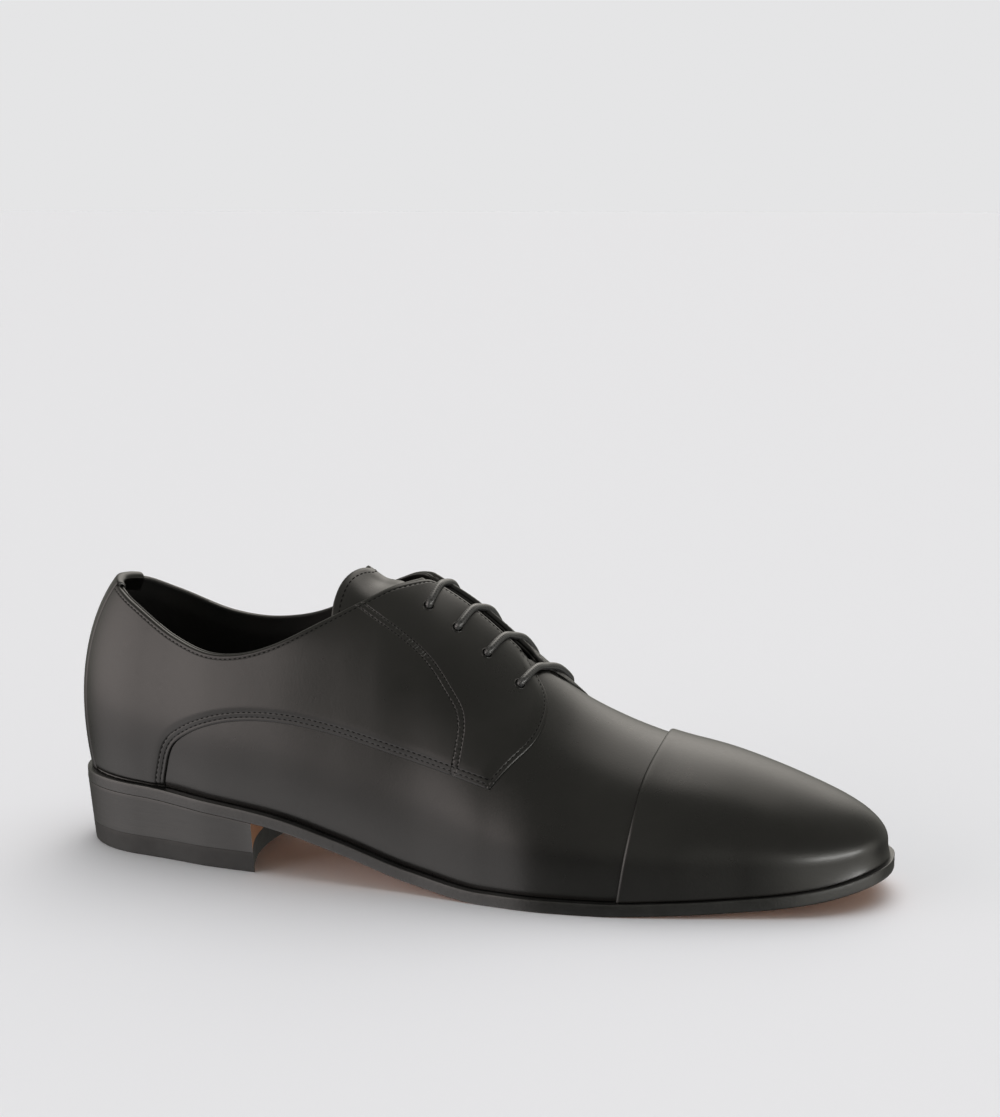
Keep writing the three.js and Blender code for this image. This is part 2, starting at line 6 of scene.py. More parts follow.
import sys
import json
import logging
import math
from dataclasses import dataclass
from enum import Enum
from functools import lru_cache
from typing import Callable, Optional, Sequence

import bmesh
import bpy
import numpy as np
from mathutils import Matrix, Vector

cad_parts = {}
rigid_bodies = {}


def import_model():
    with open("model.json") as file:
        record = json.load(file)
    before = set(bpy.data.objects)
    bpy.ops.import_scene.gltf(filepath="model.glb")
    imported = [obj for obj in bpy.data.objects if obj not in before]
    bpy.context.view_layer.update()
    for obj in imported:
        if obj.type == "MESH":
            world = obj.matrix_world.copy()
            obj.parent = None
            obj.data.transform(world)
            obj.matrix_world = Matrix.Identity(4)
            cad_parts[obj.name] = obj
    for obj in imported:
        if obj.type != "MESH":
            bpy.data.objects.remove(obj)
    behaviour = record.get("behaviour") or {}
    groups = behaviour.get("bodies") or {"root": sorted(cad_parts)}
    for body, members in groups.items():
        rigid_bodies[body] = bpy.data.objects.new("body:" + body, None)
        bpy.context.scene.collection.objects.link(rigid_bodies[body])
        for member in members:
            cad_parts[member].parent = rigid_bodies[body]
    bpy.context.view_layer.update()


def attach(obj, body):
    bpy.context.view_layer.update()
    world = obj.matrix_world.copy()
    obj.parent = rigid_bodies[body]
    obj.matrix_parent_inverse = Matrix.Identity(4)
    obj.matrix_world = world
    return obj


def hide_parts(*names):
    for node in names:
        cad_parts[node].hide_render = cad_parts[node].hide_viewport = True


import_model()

MM = 0.001
LOG = logging.getLogger("shoe")

# a distance in millimetres at which no edge is near
FAR = 99.0

Array = np.ndarray


class Hand(Enum):
    """The two sides of the shoe, by the sign of Y."""

    LATERAL = -1
    MEDIAL = 1


def side_of(values: Array) -> Array:
    """The sign of Y for each value, 1 where it is 0."""
    return np.where(values < 0, -1.0, 1.0)


def unit(vectors: Array) -> Array:
    """The same directions at length 1."""
    return vectors / np.maximum(np.linalg.norm(vectors, axis=-1, keepdims=True), 1e-12)


def soft_step(share: Array) -> Array:
    """Rises smoothly from 0 to 1 as the share does, held beyond its ends."""
    share = np.clip(share, 0.0, 1.0)
    return share * share * (3.0 - 2.0 * share)


# ---------------------------------------------------------------------------------------------
# The last
# ---------------------------------------------------------------------------------------------


class Curve:
    """A smooth curve through a table's rows, without overshoot."""

    def __init__(self, at: Sequence[float], values: Sequence[float]) -> None:
        """Keeps the rows and works out the slope at each.

        Args:
            at: rising places of the rows.
            values: the value of each row.
        """
        self.at = np.asarray(at, float)
        self.values = np.asarray(values, float)
        slope = np.diff(self.values) / np.diff(self.at)
        before = np.concatenate([slope[:1], slope])
        after = np.concatenate([slope, slope[-1:]])
        product = before * after
        total = np.where(product > 0, before + after, 1.0)
        self.rate = np.where(product > 0, 2.0 * product / total, 0.0)

    def __call__(self, share: Array) -> Array:
        """The value at each share, held beyond the ends."""
        share = np.clip(share, self.at[0], self.at[-1])
        i = np.clip(np.searchsorted(self.at, share, side="right") - 1, 0, len(self.at) - 2)
        span = self.at[i + 1] - self.at[i]
        t = (share - self.at[i]) / span
        rise = (self.values[i + 1] - self.values[i]) * t * t * (3.0 - 2.0 * t)
        sway = span * t * (1.0 - t) * ((1.0 - t) * self.rate[i] - t * self.rate[i + 1])
        return self.values[i] + rise + sway


def curves(rows: Sequence[Sequence[float]]) -> list[Curve]:
    """One curve for each column after the first.

    Args:
        rows: a table whose first column is the place.

    Returns:
        The curves, in the order of the columns.
    """
    table = np.asarray(rows, float)
    return [Curve(table[:, 0], table[:, k]) for k in range(1, table.shape[1])]


@dataclass(frozen=True)
class Last:
    """The form that the shoe is built on, with the same sizes as the solids."""

    sole_length: float = 301.0
    ball_width: float = 98.0
    instep_height: float = 106.0
    heel_height: float = 23.0
    toe_spring: float = 9.5
    sole_thickness: float = 4.4
    ledge: float = 3.0
    heel_round: float = 40.0
    toe_round: float = 58.0
    heel_power: float = 2.1
    toe_power: float = 2.25
    heel_fan: float = 32.0
    heel_fan_reach: float = 72.0
    toe_fan: float = 19.0
    toe_fan_reach: float = 56.0
    clearance: float = 0.3
    crowding: float = 0.85
    bulge_share: float = 0.22
    origin_x: float = 39.0

    # place, lateral half width, medial half width, heel share, spring share
    sole_rows: tuple = (
        (0.00, 0.305, 0.315, 1.02, 0.00), (0.10, 0.305, 0.322, 1.00, 0.00),
        (0.20, 0.362, 0.335, 0.90, 0.00), (0.28, 0.388, 0.305, 0.78, 0.00),
        (0.37, 0.412, 0.272, 0.50, 0.00), (0.46, 0.440, 0.285, 0.17, 0.00),
        (0.55, 0.485, 0.355, 0.00, 0.00), (0.62, 0.508, 0.425, 0.00, 0.00),
        (0.68, 0.498, 0.464, 0.00, 0.00), (0.77, 0.448, 0.462, 0.00, 0.10),
        (0.85, 0.392, 0.405, 0.00, 0.26), (0.92, 0.372, 0.372, 0.00, 0.50),
        (1.00, 0.360, 0.360, 0.00, 1.00),
    )
    # place, height
    ridge_rows: tuple = (
        (0.10, 1.035), (0.20, 1.030), (0.33, 1.045), (0.41, 1.030), (0.46, 0.958),
        (0.49, 0.908), (0.52, 0.844), (0.55, 0.772), (0.59, 0.676), (0.64, 0.580),
        (0.69, 0.515), (0.74, 0.469), (0.81, 0.426), (0.87, 0.374), (0.93, 0.309), (0.97, 0.262),
    )
    # place, lateral swell, medial swell, height of the swell, fullness
    side_rows: tuple = (
        (0.00, 0.024, 0.024, 0.23, 2.00), (0.12, 0.018, 0.018, 0.19, 2.00),
        (0.30, 0.016, 0.034, 0.17, 2.00), (0.45, 0.012, 0.042, 0.16, 2.00),
        (0.60, 0.008, 0.014, 0.13, 1.95), (0.75, 0.004, 0.004, 0.11, 2.00),
        (0.90, 0.000, 0.000, 0.08, 2.05), (1.00, -0.010, -0.010, 0.05, 2.40),
    )

    def __post_init__(self) -> None:
        """Turns the tables into curves."""
        lateral, medial, heel, spring = curves(self.sole_rows)
        object.__setattr__(self, "widths", (lateral, medial))
        object.__setattr__(self, "heel", heel)
        object.__setattr__(self, "spring", spring)
        object.__setattr__(self, "ridge", curves(self.ridge_rows)[0])
        swell_l, swell_m, swell_height, fullness = curves(self.side_rows)
        object.__setattr__(self, "swells", (swell_l, swell_m))
        object.__setattr__(self, "swell_height", swell_height)
        object.__setattr__(self, "fullness", fullness)

    def station(self, along: Array) -> Array:
        """The share of the length at a rib, crowded towards both ends."""
        eased = (1.0 - np.cos(np.pi * along)) / 2.0
        return eased * self.crowding + along * (1.0 - self.crowding)

    def end_round(self, distance: Array, reach: float, power: float) -> Array:
        """The round end of the outline, from 0 at the tip to 1."""
        q = np.clip(distance / reach, 0.0, 1.0)
        return (1.0 - (1.0 - q) ** power) ** (1.0 / power)

    def half_width(self, x: Array, hand: Array) -> Array:
        """Half width of the sole.

        Args:
            x: places along the sole.
            hand: sign of Y at each.

        Returns:
            The half widths.
        """
        at = x / self.sole_length
        share = np.where(hand < 0, self.widths[0](at), self.widths[1](at))
        heel_end = self.end_round(x, self.heel_round, self.heel_power)
        toe_end = self.end_round(self.sole_length - x, self.toe_round, self.toe_power)
        return self.ball_width * share * heel_end * toe_end

    def underside(self, x: Array) -> Array:
        """Height of the sole's underside over the floor."""
        at = np.asarray(x) / self.sole_length
        return self.heel_height * self.heel(at) + self.toe_spring * self.spring(at)

    def sole_top(self, x: Array) -> Array:
        """Height of the sole's upper face."""
        return self.underside(x) + self.sole_thickness

    def foot_x(self, along: Array) -> Array:
        """Place of a rib's foot."""
        return self.ledge + (self.sole_length - 2.0 * self.ledge) * self.station(along)

    def point(self, along: Array, across: Array, hand: Array) -> Array:
        """Points of the last.

        Args:
            along: rib from heel to toe, 0 to 1.
            across: place up the rib, 0 to 1.
            hand: sign of Y.

        Returns:
            An array of points, last axis x, y, z.
        """
        along, across, hand = np.broadcast_arrays(along, across, hand)
        place = self.station(along)
        x = self.foot_x(along)
        half = self.half_width(self.sole_length * place, hand)
        ledge = self.ledge * (1.0 - np.exp(-half / (2.0 * self.ledge)))
        foot_y = hand * (half - ledge)
        foot_z = self.sole_top(x) + self.clearance
        near_heel = np.maximum(1.0 - (x - self.ledge) / self.heel_fan_reach, 0.0)
        near_toe = np.maximum(1.0 - (self.sole_length - self.ledge - x) / self.toe_fan_reach, 0.0)
        top_x = x + self.heel_fan * near_heel ** 2 - self.toe_fan * near_toe ** 2
        top_z = self.instep_height * self.ridge(top_x / self.sole_length)
        swell = self.ball_width * np.where(hand < 0, self.swells[0](place), self.swells[1](place))
        swell_z = self.instep_height * self.swell_height(place)
        reach = np.maximum(np.hypot(top_x - x, foot_y), 1e-9)
        t = np.clip(across / self.bulge_share, 0.0, 1.0)
        upper = np.clip((across - self.bulge_share) / (1.0 - self.bulge_share), 0.0, 1.0)
        angle = upper * np.pi / 2.0
        power = 2.0 / self.fullness(place)
        low = across < self.bulge_share
        inward_low = -swell * (1.0 - (1.0 - t) ** 2)
        inward_high = -swell + (reach + swell) * (1.0 - np.maximum(np.cos(angle), 0.0) ** power)
        ahead = self.ridge((top_x + 1.0) / self.sole_length)
        behind = self.ridge((top_x - 1.0) / self.sole_length)
        lean = self.instep_height * (ahead - behind) / 2.0 * (top_x - x) / reach
        rise = top_z - foot_z - swell_z - lean * (reach + swell)
        height_high = swell_z + lean * (inward_high + swell) + rise * np.sin(angle) ** power
        inward = np.where(low, inward_low, inward_high) / reach
        height = np.where(low, swell_z * t, height_high)
        place = [x + (top_x - x) * inward, foot_y * (1.0 - inward), foot_z + height]
        return np.stack(place, axis=-1)

    def _hand_normal(self, along: Array, across: Array, hand: Array) -> Array:
        """Outward direction from one hand's side alone."""
        step = 1e-3
        low_a, high_a = np.clip(along - step, 0, 1), np.clip(along + step, 0, 1)
        low_c, high_c = np.clip(across - step, 0, 1), np.clip(across + step, 0, 1)
        along_way = self.point(high_a, across, hand) - self.point(low_a, across, hand)
        across_way = self.point(along, high_c, hand) - self.point(along, low_c, hand)
        return unit(np.cross(across_way, along_way) * np.asarray(hand)[..., None])

    def normal(self, along: Array, across: Array, hand: Array) -> Array:
        """Outward directions, shared where the two hands meet.

        Args:
            along: rib from heel to toe, 0 to 1.
            across: place up the rib, 0 to 1.
            hand: sign of Y.

        Returns:
            Unit vectors.
        """
        along, across, hand = (np.array(a, float) for a in np.broadcast_arrays(along, across, hand))
        normal = self._hand_normal(along, across, hand)
        at_end = (along <= 0.0) | (along >= 1.0)
        shared = at_end | (across >= 1.0)
        other = self._hand_normal(along, across, -hand)
        normal = np.where(shared[..., None], normal + other, normal)
        normal[..., 1] = np.where(at_end, 0.0, normal[..., 1])
        normal[..., 2] = np.where(across <= 0.0, 0.0, normal[..., 2])
        return unit(normal)

    def off(self, along: Array, across: Array, hand: Array, distance: Array) -> Array:
        """Points at a distance off the last, outwards when positive."""
        away = self.normal(along, across, hand) * np.asarray(distance, float)[..., None]
        return self.point(along, across, hand) + away

    def lay(self, chart: Array, distance: Array) -> Array:
        """Points over a chart of the last.

        Args:
            chart: last axis holds along and the signed way from the ridge, -1 to 1.
            distance: distance off the last at each.

        Returns:
            Points in millimetres in the last's own frame.
        """
        hand = side_of(chart[..., 1])
        across = np.clip(1.0 - np.abs(chart[..., 1]), 0.0, 1.0)
        distance = np.broadcast_to(np.asarray(distance, float), across.shape)
        return self.off(np.clip(chart[..., 0], 0.0, 1.0), across, hand, distance)


def bisect(measure: Callable[[Array], Array], goal: Array, low: Array, high: Array,
           turns: int = 34) -> Array:
    """Where a rising measure reaches its goal.

    Args:
        measure: takes an array and gives the measure at each.
        goal: the value sought at each.
        low: lower ends of the search.
        high: upper ends of the search.
        turns: halvings.

    Returns:
        The places.
    """
    goal = np.asarray(goal, float)
    low = np.broadcast_to(np.asarray(low, float), goal.shape).copy()
    high = np.broadcast_to(np.asarray(high, float), goal.shape).copy()
    for _ in range(turns):
        middle = (low + high) / 2.0
        below = measure(middle) < goal
        low = np.where(below, middle, low)
        high = np.where(below, high, middle)
    return (low + high) / 2.0


@dataclass(frozen=True)
class Drafting:
    """Finds chart places on the last from the views that a pattern is drafted in."""

    last: Last
    turns: int = 26
    rounds: int = 8
    shifts: int = 3
    side_start: float = 0.6
    plan_start: float = 0.8

    def _along_at(self, across: Array, x: Array, hand: Array) -> Array:
        """Rib that passes a place along the shoe."""
        return bisect(lambda a: self.last.point(a, across, hand)[..., 0], x, 0.0, 1.0, self.turns)

    def _settle(self, x: Array, other: Array, hands: Array, distance: float, start: float,
                across_at: Callable, part: Callable) -> Array:
        """Finds rib and place up it by turns.

        Args:
            x: places along the shoe.
            other: the view's other measure.
            hands: sign of Y at each.
            distance: how far off the last the points lie.
            start: first place up the rib.
            across_at: takes ribs and the other measure and gives places up the ribs.
            part: takes shifts in space and gives what they add to the other measure.

        Returns:
            Chart places.
        """
        goal_x, goal = x, other
        for _ in range(self.shifts):
            across = np.full(x.shape, start)
            for _ in range(self.rounds):
                along = self._along_at(across, goal_x, hands)
                across = across_at(along, goal)
            if distance == 0.0:
                break
            shift = self.last.normal(along, across, hands) * distance
            goal_x, goal = x - shift[..., 0], other - part(shift)
        return np.stack([along, hands * (1.0 - across)], axis=-1)

    def from_side(self, x: Array, z: Array, hand: int, distance: float = 0.0) -> Array:
        """Chart places of points drawn in the side view.

        Args:
            x: places along the shoe.
            z: heights over the floor.
            hand: sign of Y.
            distance: how far off the last the points lie.

        Returns:
            Chart places.
        """
        x, z = np.broadcast_arrays(np.asarray(x, float), np.asarray(z, float))
        hands = np.full(x.shape, float(hand))

        def across_at(along: Array, height: Array) -> Array:
            """Places up the ribs at a height."""
            return bisect(lambda c: self.last.point(along, c, hands)[..., 2], height, 0.0, 1.0,
                          self.turns)

        return self._settle(x, z, hands, distance, self.side_start, across_at,
                            lambda shift: shift[..., 2])

    def from_plan(self, x: Array, y: Array, distance: float = 0.0) -> Array:
        """Chart places of points drawn in the view from above, above the sides' swell.

        Args:
            x: places along the shoe.
            y: signed places across it.
            distance: how far off the last the points lie.

        Returns:
            Chart places.
        """
        x, y = np.broadcast_arrays(np.asarray(x, float), np.asarray(y, float))
        hands = side_of(y)

        def across_at(along: Array, out: Array) -> Array:
            """Places up the ribs at a distance from the middle."""
            return bisect(lambda c: -np.abs(self.last.point(along, c, hands)[..., 1]), -out,
                          self.last.bulge_share, 1.0, self.turns)

        return self._settle(x, np.abs(y), hands, distance, self.plan_start, across_at,
                            lambda shift: shift[..., 1] * hands)


LAST = Last()
DRAFT = Drafting(LAST)


# ---------------------------------------------------------------------------------------------
# Meshes
# ---------------------------------------------------------------------------------------------


def deselect() -> None:
    """Leaves nothing selected."""
    for item in bpy.context.view_layer.objects:
        item.select_set(False)


def make_active(item: bpy.types.Object) -> None:
    """Selects one object alone."""
    deselect()
    item.select_set(True)
    bpy.context.view_layer.objects.active = item


def in_metres(points: Array) -> Array:
    """Moves points from the last's frame in millimetres to the part's frame in metres."""
    return (np.asarray(points, float) - np.array([LAST.origin_x, 0.0, 0.0])) * MM


def coordinates_of(item: bpy.types.Object) -> Array:
    """The places of an object's vertices, as they are stored."""
    flat = np.empty(len(item.data.vertices) * 3)
    item.data.vertices.foreach_get("co", flat)
    return flat.reshape(-1, 3)


def extruded(name: str, times: int) -> bpy.types.Object:
    """The primitive just added, named and extruded upwards, one step at a time."""
    item = bpy.context.object
    item.name = item.data.name = name
    bpy.ops.object.mode_set(mode="EDIT")
    bpy.ops.mesh.select_all(action="SELECT")
    for _ in range(times):
        bpy.ops.mesh.extrude_region_move(TRANSFORM_OT_translate={"value": (0.0, 0.0, 1.0)})
    bpy.ops.object.mode_set(mode="OBJECT")
    return item


def grid_stack(name: str, layers: Sequence[Array]) -> bpy.types.Object:
    """A closed body laid through layers of points.

    A grid primitive is extruded once for each further layer in edit mode, and the layers are
    laid at their places.

    Args:
        name: the piece's name.
        layers: points in millimetres, each rows by columns by 3, from the lowest face up.

    Returns:
        The object.
    """
    stack = np.asarray(layers, float)
    rows, columns = stack.shape[1:3]
    deselect()
    bpy.ops.mesh.primitive_grid_add(x_subdivisions=rows - 1, y_subdivisions=columns - 1, size=1.0)
    item = extruded(name, len(stack) - 1)
    flat = coordinates_of(item)
    i = np.rint((flat[:, 0] + 0.5) * (rows - 1)).astype(int)
    j = np.rint((flat[:, 1] + 0.5) * (columns - 1)).astype(int)
    level = np.rint(flat[:, 2]).astype(int)
    item.data.vertices.foreach_set("co", in_metres(stack[level, i, j]).ravel())
    item.data.update()
    return item


def close_up(item: bpy.types.Object, gap: float = 1e-7, middle: bool = False) -> None:
    """Merges what meets and turns all faces outwards.

    Args:
        item: the piece.
        gap: merging distance in metres.
        middle: also takes out walls that lie in the shoe's middle plane.
    """
    shape = bmesh.new()
    shape.from_mesh(item.data)
    bmesh.ops.remove_doubles(shape, verts=shape.verts, dist=gap)
    if middle:
        inside = [f for f in shape.faces if all(abs(v.co.y) < 1e-7 for v in f.verts)]
        bmesh.ops.delete(shape, geom=inside, context="FACES")
    flat = [f for f in shape.faces if f.calc_area() < 1e-15]
    bmesh.ops.delete(shape, geom=flat, context="FACES_ONLY")
    bmesh.ops.remove_doubles(shape, verts=shape.verts, dist=gap)
    bmesh.ops.recalc_face_normals(shape, faces=shape.faces)
    shape.to_mesh(item.data)
    shape.free()
    item.data.update()


def join(name: str, items: Sequence[bpy.types.Object]) -> bpy.types.Object:
    """Joins several objects into one.

    Args:
        name: name of the joined piece.
        items: the objects.

    Returns:
        The joined object.
    """
    make_active(items[0])
    for item in items[1:]:
        item.select_set(True)
    if len(items) > 1:
        bpy.ops.object.join()
    item = bpy.context.object
    item.name = item.data.name = name
    return item


def smooth(item: bpy.types.Object, angle: float = 50.0) -> None:
    """Shades a piece smooth below an angle."""
    make_active(item)
    bpy.ops.object.shade_smooth_by_angle(angle=math.radians(angle))


def write_attribute(item: bpy.types.Object, name: str, values: Array) -> None:
    """Stores one number at each point of a mesh.

    Args:
        item: the piece.
        name: the attribute's name.
        values: one value per vertex.
    """
    layer = item.data.attributes.new(name, "FLOAT", "POINT")
    layer.data.foreach_set("value", np.asarray(values, np.float32))


def vertices_of(item: bpy.types.Object) -> Array:
    """The vertices of a piece, in millimetres in the last's frame."""
    return coordinates_of(item) / MM + np.array([LAST.origin_x, 0.0, 0.0])


def distance_to(points: Array, line: Array) -> Array:
    """Distance from each point to a line of points.

    Args:
        points: points by 3.
        line: the line's points by 3.

    Returns:
        The shortest distances.
    """
    starts, ways = line[:-1], np.diff(line, axis=0)
    squares = np.maximum((ways ** 2).sum(axis=1), 1e-12)
    best = np.full(len(points), np.inf)
    for start, way, square in zip(starts, ways, squares):
        t = np.clip(((points - start) @ way) / square, 0.0, 1.0)
        best = np.minimum(best, ((points - start - t[:, None] * way) ** 2).sum(axis=1))
    return np.sqrt(best)


def resample(line: Array, count: int) -> Array:
    """The same line with evenly spaced points.

    Args:
        line: points by any number of columns.
        count: points wanted.

    Returns:
        The evenly spaced points.
    """
    steps = np.linalg.norm(np.diff(line, axis=0), axis=1)
    reach = np.concatenate([[0.0], np.cumsum(steps)])
    at = np.linspace(0.0, reach[-1], count)
    return np.stack([np.interp(at, reach, line[:, k]) for k in range(line.shape[1])], axis=1)


def spline(rows: Sequence[Sequence[float]], count: int) -> Array:
    """A smooth line through points.

    Args:
        rows: points by any number of columns.
        count: points wanted.

    Returns:
        Evenly spaced points of the line.
    """
    points = np.asarray(rows, float)
    steps = np.linalg.norm(np.diff(points, axis=0), axis=1) ** 0.5
    knots = np.concatenate([[0.0], np.cumsum(steps)])
    before = points[0] * 2 - points[1]
    after = points[-1] * 2 - points[-2]
    padded = np.vstack([before, points, after])
    times = np.concatenate([[-steps[0]], knots, [knots[-1] + steps[-1]]])
    result = []
    for t in np.linspace(0.0, knots[-1], count * 4):
        i = int(np.clip(np.searchsorted(times, t, side="right") - 1, 1, len(padded) - 3))
        p, k = padded[i - 1:i + 3], times[i - 1:i + 3]
        a = [p[n] + (p[n + 1] - p[n]) * (t - k[n]) / (k[n + 1] - k[n]) for n in range(3)]
        b = [a[n] + (a[n + 1] - a[n]) * (t - k[n]) / (k[n + 2] - k[n]) for n in range(2)]
        result.append(b[0] + (b[1] - b[0]) * (t - k[1]) / (k[2] - k[1]))
    return resample(np.array(result), count)


def edge_steps(length: Array, inset: float, count: int) -> Array:
    """Shares of a length with some steps close to both ends.

    Args:
        length: lengths in millimetres.
        inset: how far in the close steps go.
        count: even steps between them.

    Returns:
        Shares, with a new last axis.
    """
    length = np.asarray(length, float)[..., None]
    close = np.array([0.0, 0.12, 0.42, 1.0]) * inset / length
    close = np.minimum(close, np.linspace(0.0, 0.2, 4))
    middle = np.linspace(0.0, 1.0, count + 2)[1:-1]
    middle = close[..., -1:] + (1.0 - 2.0 * close[..., -1:]) * middle
    return np.concatenate([close, middle, 1.0 - close[..., ::-1]], axis=-1)


def fold(distance: Array, height: float, radius: float) -> Array:
    """Height of a sheet near its folded edge.

    Args:
        distance: distance in from the edge.
        height: height of the open face.
        radius: radius of the fold.

    Returns:
        The heights.
    """
    inside = radius - np.minimum(distance, radius)
    return height - radius + np.sqrt(np.maximum(radius ** 2 - inside ** 2, 0.0))


@dataclass
class Panel:
    """A leather panel cut from the last between four edges given on the chart."""

    bottom: Array
    top: Array
    back: Array
    front: Array

    def chart(self, s: Array, t: Array) -> Array:
        """Chart places inside the panel.

        Args:
            s: share of the way from the back to the front.
            t: share of the way from the bottom to the top.

        Returns:
            Chart places.
        """
        def along_edge(edge: Array, share: Array) -> Array:
            """Chart places at shares of an edge."""
            at = np.linspace(0.0, 1.0, len(edge))
            return np.stack([np.interp(share, at, edge[:, k]) for k in (0, 1)], axis=-1)

        bottom, top = along_edge(self.bottom, s), along_edge(self.top, s)
        back, front = along_edge(self.back, t), along_edge(self.front, t)
        s, t = s[..., None], t[..., None]
        corners = ((1 - s) * (1 - t) * self.bottom[0] + s * (1 - t) * self.bottom[-1]
                   + (1 - s) * t * self.top[0] + s * t * self.top[-1])
        return (1 - t) * bottom + t * top + (1 - s) * back + s * front - corners

    def grid(self, rows: int, columns: int, inset: float) -> Array:
        """A grid of chart places, closer together along the edges.

        Args:
            rows: even steps from back to front.
            columns: even steps from bottom to top.
            inset: width of the close steps, in millimetres.

        Returns:
            Chart places, rows by columns by 2.
        """
        even = np.linspace(0.0, 1.0, 25)
        s_even, t_even = np.meshgrid(even, even, indexing="ij")
        laid = LAST.lay(self.chart(s_even, t_even), 0.0)
        row_length = np.linalg.norm(np.diff(laid, axis=0), axis=2).sum(axis=0)
        column_length = np.linalg.norm(np.diff(laid, axis=1), axis=2).sum(axis=1)
        t_rough = edge_steps(np.array(column_length.mean()), inset, columns)
        s = edge_steps(np.interp(t_rough, even, row_length), inset, rows).T
        lengths = np.interp(s, even, column_length)
        t = [edge_steps(lengths[:, j], inset, columns)[:, j] for j in range(s.shape[1])]
        return self.chart(s, np.stack(t, axis=1))


# ---------------------------------------------------------------------------------------------
# Shading
# ---------------------------------------------------------------------------------------------


class Value:
    """A node socket that takes part in sums, so that shader maths reads as an expression."""

    def __init__(self, nodes: "Nodes", socket: bpy.types.NodeSocket) -> None:
        """Wraps a socket of a node tree."""
        self.nodes = nodes
        self.socket = socket

    def _maths(self, operation: str, *values: object) -> "Value":
        """Adds a Math node on these values."""
        return self.nodes.node("ShaderNodeMath", {"operation": operation}, dict(enumerate(values)))

    def __add__(self, other: object) -> "Value":
        """Sum."""
        return self._maths("ADD", self, other)

    __radd__ = __add__

    def __sub__(self, other: object) -> "Value":
        """Difference."""
        return self._maths("SUBTRACT", self, other)

    def __rsub__(self, other: object) -> "Value":
        """Difference the other way."""
        return self._maths("SUBTRACT", other, self)

    def __mul__(self, other: object) -> "Value":
        """Product."""
        return self._maths("MULTIPLY", self, other)

    __rmul__ = __mul__

    def __truediv__(self, other: object) -> "Value":
        """Quotient."""
        return self._maths("DIVIDE", self, other)

    def __pow__(self, other: object) -> "Value":
        """Power."""
        return self._maths("POWER", self, other)

    def size(self) -> "Value":
        """The value without its sign."""
        return self._maths("ABSOLUTE", self)

    def wave(self) -> "Value":
        """The sine."""
        return self._maths("SINE", self)

    def larger(self, other: object) -> "Value":
        """The larger of two."""
        return self._maths("MAXIMUM", self, other)

    def band(self, low: float, high: float) -> "Value":
        """Rises smoothly from 0 at low to 1 at high, or falls when high is below low.

        Args:
            low: where it starts.
            high: where it ends.

        Returns:
            The value from 0 to 1.
        """
        start, end, first, last = (low, high, 0.0, 1.0) if low < high else (high, low, 1.0, 0.0)
        return self.nodes.node(
            "ShaderNodeMapRange", {"interpolation_type": "SMOOTHSTEP"},
            {"Value": self, "From Min": start, "From Max": end, "To Min": first, "To Max": last})


class Nodes:
    """A node tree whose sockets are wrapped for sums."""

    def __init__(self, tree: bpy.types.NodeTree) -> None:
        """Empties the tree."""
        self.tree = tree
        self.tree.nodes.clear()

    def node(self, kind: str, settings: Optional[dict] = None, values: Optional[dict] = None,
             output: object = 0) -> Value:
        """Adds a node.

        Args:
            kind: the node's type.
            settings: properties, set first.
            values: numbers, colours or wrapped sockets by input name or number.
            output: name or number of the output that is wrapped.

        Returns:
            The wrapped output.
        """
        node = self.tree.nodes.new(kind)
        for key, setting in (settings or {}).items():
            setattr(node, key, setting)
        for key, value in (values or {}).items():
            self.put(node.inputs[key], value)
        return Value(self, node.outputs[output])

    def put(self, socket: bpy.types.NodeSocket, value: object) -> None:
        """Sets or links an input."""
        if isinstance(value, Value):
            self.tree.links.new(value.socket, socket)
        else:
            socket.default_value = value

    def mix(self, share: object, first: object, second: object) -> Value:
        """A colour between two.

        Args:
            share: share of the second.
            first: colour or wrapped colour.
            second: colour or wrapped colour.

        Returns:
            The colour.
        """
        node = self.tree.nodes.new("ShaderNodeMix")
        node.data_type = "RGBA"
        self.put(node.inputs[0], share)
        self.put(node.inputs[6], first)
        self.put(node.inputs[7], second)
        return Value(self, node.outputs[2])


